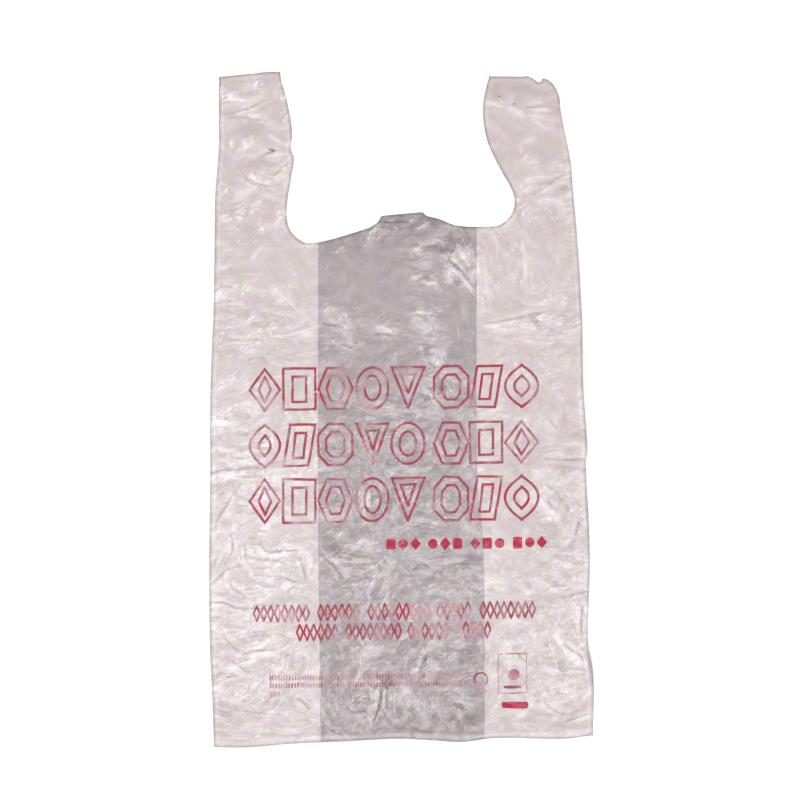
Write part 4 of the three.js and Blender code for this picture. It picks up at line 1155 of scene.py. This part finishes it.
# Milky film. It is darker where two plies lie than where four do, and whiter where it is finely creased, with
# painted highlights on crests, raised creases, facets and patches, and painted shade in valleys, grooves,
# patches and at folds and cut edges. Its inside, seen past the cut of the neck, has a painted glow in place
# of the light that comes through the film, so it isn't dark.
FILM_IOR = 1.5
FILM_ROUGHNESS = 0.28
TWO_PLIES = (0.37, 0.325, 0.335, 1)
FOUR_PLIES = (0.62, 0.54, 0.535, 1)
WHITENED = (0.92, 0.85, 0.86, 1)
NO_GLOW = (0, 0, 0, 1)
INSIDE_GLOW = (0.30, 0.27, 0.275, 1)
HAZE_RANGE = (0.15, 1.6)
HAZE_WHITENING = 0.50
TWO_PLY_HAZE = 0.55
FOUR_PLY_FACETS = 0.7
FACET_SHEEN = 0.23
RIDGE_HIGHLIGHT = 0.36
TONE_AND_LIGHT_WHITENING = 0.34
CREST_HIGHLIGHT = 0.12
MOST_DARKENED = -0.35
CREST_SHADE = (0.90, 1.06)
GROOVE_SHADE = 0.30
RIM_SHADE = -0.48
film_material, tree = new_material("milky_film")
film_shader = add_node(tree, "BsdfPrincipled", {"IOR": FILM_IOR, "Roughness": FILM_ROUGHNESS,
                                                "Emission Strength": 1.0})
add_node(tree, "OutputMaterial", {"Surface": film_shader.outputs["BSDF"]})
film_crinkle = add_crinkle(tree, mesh_value(tree, "crumpled"), film_shader)
four_plies = mesh_value(tree, "plies")
crest_value = mesh_value(tree, "crest")
crease_light_and_shade = film_crinkle.outputs["Line"]
haze_value = map_range(tree, mesh_value(tree, "haze"), *HAZE_RANGE, 0.0, HAZE_WHITENING)
haze_share = calc(tree, "MULTIPLY_ADD", four_plies, 1 - TWO_PLY_HAZE, TWO_PLY_HAZE)
whitening_and_highlight = calc(tree, "MULTIPLY", haze_value, haze_share)
film_facet_sheen = calc(tree, "MULTIPLY", film_crinkle.outputs["Facet Sheen And Shade"],
                   calc(tree, "MULTIPLY_ADD", four_plies, FOUR_PLY_FACETS, 1.0))
# Whitening where the film is creased, with painted highlights on facets, raised creases, crests and patches,
# and painted shade in some patches.
for source, share in ((film_facet_sheen, FACET_SHEEN),
                      (calc(tree, "MAXIMUM", crease_light_and_shade, 0.0), RIDGE_HIGHLIGHT),
                      (mesh_value(tree, "lifted"), TONE_AND_LIGHT_WHITENING),
                      (crest_value, CREST_HIGHLIGHT)):
    whitening_and_highlight = calc(tree, "MULTIPLY_ADD", source, share, whitening_and_highlight)
whitening_and_highlight = calc(tree, "MINIMUM", calc(tree, "MAXIMUM", whitening_and_highlight, MOST_DARKENED), 1.0)
# Painted shade: darker in valleys, in grooves and at folds and cut edges, a little lighter on crests.
shade = map_range(tree, crest_value, -1.0, 1.0, *CREST_SHADE)
for source, share in ((calc(tree, "MINIMUM", crease_light_and_shade, 0.0), GROOVE_SHADE),
                      (mesh_value(tree, "rim"), RIM_SHADE)):
    shade = calc(tree, "MULTIPLY_ADD", source, share, shade)
colour = mix_colours(tree, four_plies, TWO_PLIES, FOUR_PLIES)
colour = mix_colours(tree, whitening_and_highlight, colour, WHITENED, clamp_factor=False)
colour = mix_colours(tree, 1.0, colour, film_crinkle.outputs["Tint"], blend_type="MULTIPLY")
colour = mix_colours(tree, 1.0, colour, shade, blend_type="MULTIPLY")
feed(tree, film_shader.inputs["Base Color"], colour)
# A painted glow on the film's inside faces, standing in for the light that comes through the film.
seen_inside = add_node(tree, "NewGeometry").outputs["Backfacing"]
feed(tree, film_shader.inputs["Emission Color"], mix_colours(tree, seen_inside, NO_GLOW, INSIDE_GLOW))
film_material.cycles.emission_sampling = "NONE"
film_mesh.materials.append(film_material)

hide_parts("carrier_bag")
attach(film, "root")

# The print. Red ink laid thinly on the front panel before the bag was made, and rubbed off in places where
# the film creased. It is rows of plain outlined shapes, small solid shapes, lozenges and ticks, with a few
# marks beside them. Sizes here are in the photograph's pixels, apart from the ink's own.
ROW_RISE = 4.5 / 292
INK_LIFT = 0.00014
INK_GRAIN = 0.9
SLOPE_SHIFT = 0.0016
INK_RUBBED = 1.35
INK_THINNING = 0.45
RUBBED_CREST = 0.0003
ABOVE_BAG = 0.05
SHARPEST_TURN = 1.2

film_tree = BVHTree.FromPolygons([v.co.copy() for v in film_mesh.vertices],
                                 [tuple(f.vertices) for f in film_mesh.polygons])
slope_y, slope_x = np.gradient(soften(relief, 0.0016), FIELD_STEP)
ink_shift_x = shift_x - SLOPE_SHIFT * slope_x
ink_shift_y = shift_y - SLOPE_SHIFT * slope_y
raised = np.clip(crest / RUBBED_CREST, -1.5, 1.5)
rubbing = soft_waves(0.0035, 41) + 0.5 * soft_waves(0.012, 42) - 0.35 * raised
thinning = soft_waves(0.005, 43) + 0.6 * soft_waves(0.03, 44)
ink_points = []
ink_faces = []
ink_thin = []


def lay_ink(across, down, rise_from, thin=0.0, rubbed=INK_RUBBED):
    """Lays a grid of ink, given in pixels, on the film. The rows of print rise a little to the right."""
    x, y = from_pixel(across, down - ROW_RISE * (across - rise_from))
    moved_x = x + sample(ink_shift_x, x, y)
    moved_y = y + sample(ink_shift_y, x, y)
    numbers = len(ink_points) + np.arange(x.size).reshape(x.shape)
    for px, py in zip(moved_x.ravel(), moved_y.ravel()):
        hit = film_tree.ray_cast(Vector((px, py, ABOVE_BAG)), Vector((0, 0, -1)))[0]
        ink_points.append((px, py, (hit.z if hit else 0.0) + INK_LIFT))
    ink_thin.extend(np.clip(thin + INK_THINNING * sample(thinning, x, y), 0, 1).ravel())
    middle_x, middle_y = ((part[:-1, :-1] + part[1:, 1:]) / 2 for part in (x, y))
    kept = sample(rubbing, middle_x, middle_y) < rubbed
    corners = (numbers[:-1, :-1], numbers[:-1, 1:], numbers[1:, 1:], numbers[1:, :-1])
    ink_faces.extend(np.stack([part[kept] for part in corners], -1).tolist())


def ink_outline(places, width, **settings):
    """A stroke of even width round a shape with straight sides."""
    stops = []
    for (sx, sy), (ex, ey) in zip(places, places[1:] + places[:1]):
        count = max(1, round(math.hypot(ex - sx, ey - sy) / INK_GRAIN))
        stops += [(sx + (ex - sx) * n / count, sy + (ey - sy) * n / count) for n in range(count)]
    line = np.array(stops)
    into, out = line - np.roll(line, 1, 0), np.roll(line, -1, 0) - line
    into /= np.maximum(np.linalg.norm(into, axis=1, keepdims=True), 1e-6)
    out /= np.maximum(np.linalg.norm(out, axis=1, keepdims=True), 1e-6)
    heading = into + out
    stretch = 2 / np.maximum((heading * heading).sum(1), SHARPEST_TURN)
    normal = np.column_stack([-heading[:, 1], heading[:, 0]]) * stretch[:, None]
    offsets = np.linspace(-width / 2, width / 2, 3)
    across, down = (line[:, axis:axis + 1] + normal[:, axis:axis + 1] * offsets for axis in (0, 1))
    lay_ink(np.vstack([across, across[:1]]), np.vstack([down, down[:1]]), **settings)


def ink_spot(middle, half_width, half_height, roundness, turned=False, **settings):
    """A solid spot of ink: a disc at roundness 1, a block at 0, or a diamond when turned."""
    count = [max(2, round(2 * half / INK_GRAIN)) + 1 for half in (half_width, half_height)]
    u, v = np.meshgrid(np.linspace(-1, 1, count[0]), np.linspace(-1, 1, count[1]))
    u, v = (u * (1 - roundness + roundness * np.sqrt(1 - v * v / 2)),
            v * (1 - roundness + roundness * np.sqrt(1 - u * u / 2)))
    if turned:
        u, v = (u - v) / 2, (u + v) / 2
    lay_ink(middle[0] + half_width * u, middle[1] + half_height * v, **settings)


# Outlined shapes, drawn within a square from -1 to 1, with down positive. Each is drawn twice, the second
# time smaller by a band, which is wider across and along where a shape's sides slant.
circle = 2 * math.pi * np.arange(36) / 36
bow = np.linspace(-1, 1, 12)
SHAPES = {
    "diamond": [(0, -1), (1, 0), (0, 1), (-1, 0)],
    "block": [(-1, -1), (1, -1), (1, 1), (-1, 1)],
    "hexagon": [(-0.5, -1), (0.5, -1), (1, 0), (0.5, 1), (-0.5, 1), (-1, 0)],
    "ring": list(zip(np.cos(circle), np.sin(circle))),
    "wedge": [(-1, -1), (1, -1), (0, 1)],
    "cut_block": [(-0.45, -1), (0.45, -1), (1, -0.5), (1, 0.5), (0.45, 1), (-0.45, 1), (-1, 0.5), (-1, -0.5)],
    "slanted": [(-0.55, -1), (1, -1), (0.55, 1), (-1, 1)],
    "lens": list(zip(1 - bow**2, -bow)) + list(zip(bow**2 - 1, bow)),
}
BAND = 8.0
BAND_STRETCH = {"diamond": (1.15, 1), "block": (1.15, 1), "slanted": (1.15, 1), "wedge": (1.15, 1.35),
                "lens": (1.15, 1.35)}
SHAPE_MIDDLE = {"wedge": (0, -0.36)}
OUTLINE_WIDTH = 2.5
SLOTS = [(265, 15), (299.5, 16), (335.5, 17), (372.5, 16), (408, 16.5), (451, 17), (486, 16), (521.5, 16.5)]
OUTLINED_ROWS = [(390, 20.5, 1), (446, 20.5, -1), (501.5, 21.5, 1)]


def placed(shape, middle, half_width, half_height):
    """The pixels of a shape's outline, drawn round a middle."""
    return [(middle[0] + half_width * px, middle[1] + half_height * py) for px, py in SHAPES[shape]]


for row_middle, half_height, way in OUTLINED_ROWS:
    for (slot_middle, half_width), shape in zip(SLOTS, list(SHAPES)[::way]):
        hub = SHAPE_MIDDLE.get(shape, (0, 0))
        stretch = BAND_STRETCH.get(shape, (1, 1))
        for inset in (0, BAND):
            kept_width = half_width - inset * stretch[0]
            kept_height = half_height - inset * stretch[1]
            hub_place = (slot_middle + hub[0] * (half_width - kept_width),
                         row_middle + hub[1] * (half_height - kept_height))
            ink_outline(placed(shape, hub_place, kept_width, kept_height), OUTLINE_WIDTH, rise_from=249,
                        thin=0.5)

# The row of small solid shapes, in groups of three: a block, a disc and a diamond, each with its half
# width, half height and roundness.
SMALL_SHAPES = [(4.6, 5.6, 0.25), (4.8, 4.8, 1.0), (5.4, 6.4, 0.1)]
SMALL_COUNT = 12
SMALL_START = 391
SMALL_DOWN = 544.5
SMALL_PITCH = 12.2
GROUP_GAP = 5.5
for n in range(SMALL_COUNT):
    group = n // 3
    kind = (n + group) % 3
    ink_spot((SMALL_START + SMALL_PITCH * n + GROUP_GAP * group, SMALL_DOWN), *SMALL_SHAPES[kind],
             turned=kind == 2, rise_from=385, rubbed=1.15)

# Two rows of narrow outlined lozenges, in groups: each row's middle and half height, and where each group
# starts and how many it has.
LOZENGE_ROWS = [(613.5, 8.0, [(257, 8), (321, 6), (371, 9), (440, 5), (483, 8)]),
                (633.0, 8.2, [(300, 6), (349, 8), (411, 6), (459, 5)])]
LOZENGE_PITCH = 7.0
LOZENGE_HALF_WIDTH = 3.1
LOZENGE_LINE = 2.0
ink_dice = np.random.default_rng(61)
for row_middle, half_height, groups in LOZENGE_ROWS:
    for start, count in groups:
        for n in range(count):
            middle = (start + LOZENGE_PITCH * n, row_middle)
            ink_outline(placed("diamond", middle, LOZENGE_HALF_WIDTH, half_height), LOZENGE_LINE,
                        rise_from=254, rubbed=1.3, thin=ink_dice.uniform(0.25, 0.85))

# Rows of fine even ticks, all faint: each row's middle, start and end.
TICK_ROWS = [(678.0, 270, 357), (678.0, 363, 468), (685.8, 270, 346), (685.8, 352, 466), (693.8, 270, 283)]
TICK_HEIGHT = 4.6
TICK_WIDTH = 1.5
TICK_PITCH = 2.7
for row_middle, start, end in TICK_ROWS:
    for n in range(int((end - start) / TICK_PITCH)):
        ink_spot((start + TICK_PITCH * n + TICK_WIDTH / 2, row_middle), TICK_WIDTH / 2, TICK_HEIGHT / 2, 0.2,
                 rise_from=270, rubbed=2.0, thin=ink_dice.uniform(0.65, 1.05))

# A small ring over a dash, an outlined tile round a disc and a dash, and a solid bar. Each has its middle
# and half sizes, then the width of a line or the roundness of a spot.
MARK_LINES = [("ring", (480.5, 679.5), 6.3, 6.8, 1.7, dict(rise_from=480, thin=0.6)),
              ("block", (512.5, 673), 14, 19.5, 0.9, dict(rise_from=512, thin=0.8, rubbed=0.9))]
MARK_SPOTS = [((481, 690.5), 5.6, 1.3, 0.4, dict(rise_from=480, thin=0.5)),
              ((513.5, 674), 5.6, 5.6, 1.0, dict(rise_from=512, thin=0.6)),
              ((512.5, 686.5), 8.5, 1.5, 0.3, dict(rise_from=512, thin=0.6, rubbed=0.9)),
              ((514.8, 704.6), 13.3, 3.6, 0.35, dict(rise_from=512, rubbed=2.0))]
for shape, middle, half_width, half_height, line_width, settings in MARK_LINES:
    ink_outline(placed(shape, middle, half_width, half_height), line_width, **settings)
for middle, half_width, half_height, roundness, settings in MARK_SPOTS:
    ink_spot(middle, half_width, half_height, roundness, **settings)

ink_mesh = bpy.data.meshes.new("print_ink")
ink_mesh.from_pydata(ink_points, [], ink_faces)
prepare_mesh(ink_mesh, np.array(ink_points)[:, :2].T, thin=ink_thin)
ink = add_object("print_ink", ink_mesh)
clean_mesh(ink_mesh, facing_up=True)

# Red ink, speckled and paler where it is thin, with the film's fine relief showing through it.
INK_IOR = 1.45
INK_ROUGHNESS = 0.3
FULL_INK = (0.46, 0.012, 0.050, 1)
HALF_INK = (0.33, 0.080, 0.115, 1)
FAINT_INK = (0.60, 0.34, 0.38, 1)
SPECKLE_SCALE = 900.0
SPECKLE_SHARE = 0.9
THIN_RANGE = (0.42, 1.5)
RELIEF_THROUGH_INK = 0.8
ink_material, tree = new_material("red_ink")
ink_shader = add_node(tree, "BsdfPrincipled", {"IOR": INK_IOR, "Roughness": INK_ROUGHNESS})
add_node(tree, "OutputMaterial", {"Surface": ink_shader.outputs["BSDF"]})
speckle = add_node(tree, "TexNoise", {"Vector": add_node(tree, "TexCoord").outputs["Object"],
                                      "Scale": SPECKLE_SCALE, "Detail": 3.0})
thinness = calc(tree, "MULTIPLY_ADD", speckle.outputs["Fac"], SPECKLE_SHARE, mesh_value(tree, "thin"))
colour = colour_ramp(tree, map_range(tree, thinness, *THIN_RANGE, 0.0, 1.0),
                     (0.0, FULL_INK), (0.5, HALF_INK), (1.0, FAINT_INK))
feed(tree, ink_shader.inputs["Base Color"], colour)
add_crinkle(tree, calc(tree, "MULTIPLY", mesh_value(tree, "crumpled"), RELIEF_THROUGH_INK), ink_shader)
ink_mesh.materials.append(ink_material)

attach(ink, "root")

# The studio: a plain pale floor that shows white, soft lamps overhead and to the sides, and an even pale
# surround.
HALF_FLOOR = 3.0
FLOOR_COLOUR = (0.85, 0.85, 0.85, 1)
FLOOR_GLOW = 0.35
SURROUND_COLOUR = (1, 1, 1, 1)
SURROUND_STRENGTH = 0.42
floor_mesh = bpy.data.meshes.new("floor")
corners = [(HALF_FLOOR * px, HALF_FLOOR * py, 0) for px, py in ((-1, -1), (1, -1), (1, 1), (-1, 1))]
floor_mesh.from_pydata(corners, [], [(0, 1, 2, 3)])
floor = add_object("floor", floor_mesh)
floor_material, tree = new_material("pale_floor")
matt = add_node(tree, "BsdfDiffuse", {"Color": FLOOR_COLOUR})
seen_by_camera = add_node(tree, "LightPath").outputs["Is Camera Ray"]
glow = add_node(tree, "Emission", {"Strength": calc(tree, "MULTIPLY", seen_by_camera, FLOOR_GLOW)})
both = add_node(tree, "AddShader", {0: matt.outputs["BSDF"], 1: glow.outputs["Emission"]})
add_node(tree, "OutputMaterial", {"Surface": both.outputs["Shader"]})
floor_mesh.materials.append(floor_material)

world = bpy.data.worlds.new("studio")
world.use_nodes = True
surround = world.node_tree.nodes["Background"]
feed(world.node_tree, surround.inputs["Color"], SURROUND_COLOUR)
feed(world.node_tree, surround.inputs["Strength"], SURROUND_STRENGTH)
bpy.context.scene.world = world

# Each lamp's place, the width and height of its panel, and its power. All face the middle of the bag.
LAMPS = {
    "upper_left_lamp": ((-0.75, 0.75, 1.7), (0.7, 0.4), 14),
    "right_lamp": ((1.0, 0.1, 1.6), (0.35, 0.9), 10),
    "lower_lamp": ((-0.2, -1.0, 1.6), (0.9, 0.3), 8),
}
for name, (place, size, power) in LAMPS.items():
    lamp = add_object(name, bpy.data.lights.new(name, "AREA"))
    lamp.data.shape = "RECTANGLE"
    lamp.data.size, lamp.data.size_y = size
    lamp.data.energy = power
    lamp.location = place
    lamp.rotation_euler = Vector(place).to_track_quat("Z", "Y").to_euler()

bpy.context.scene.view_settings.view_transform = "Standard"
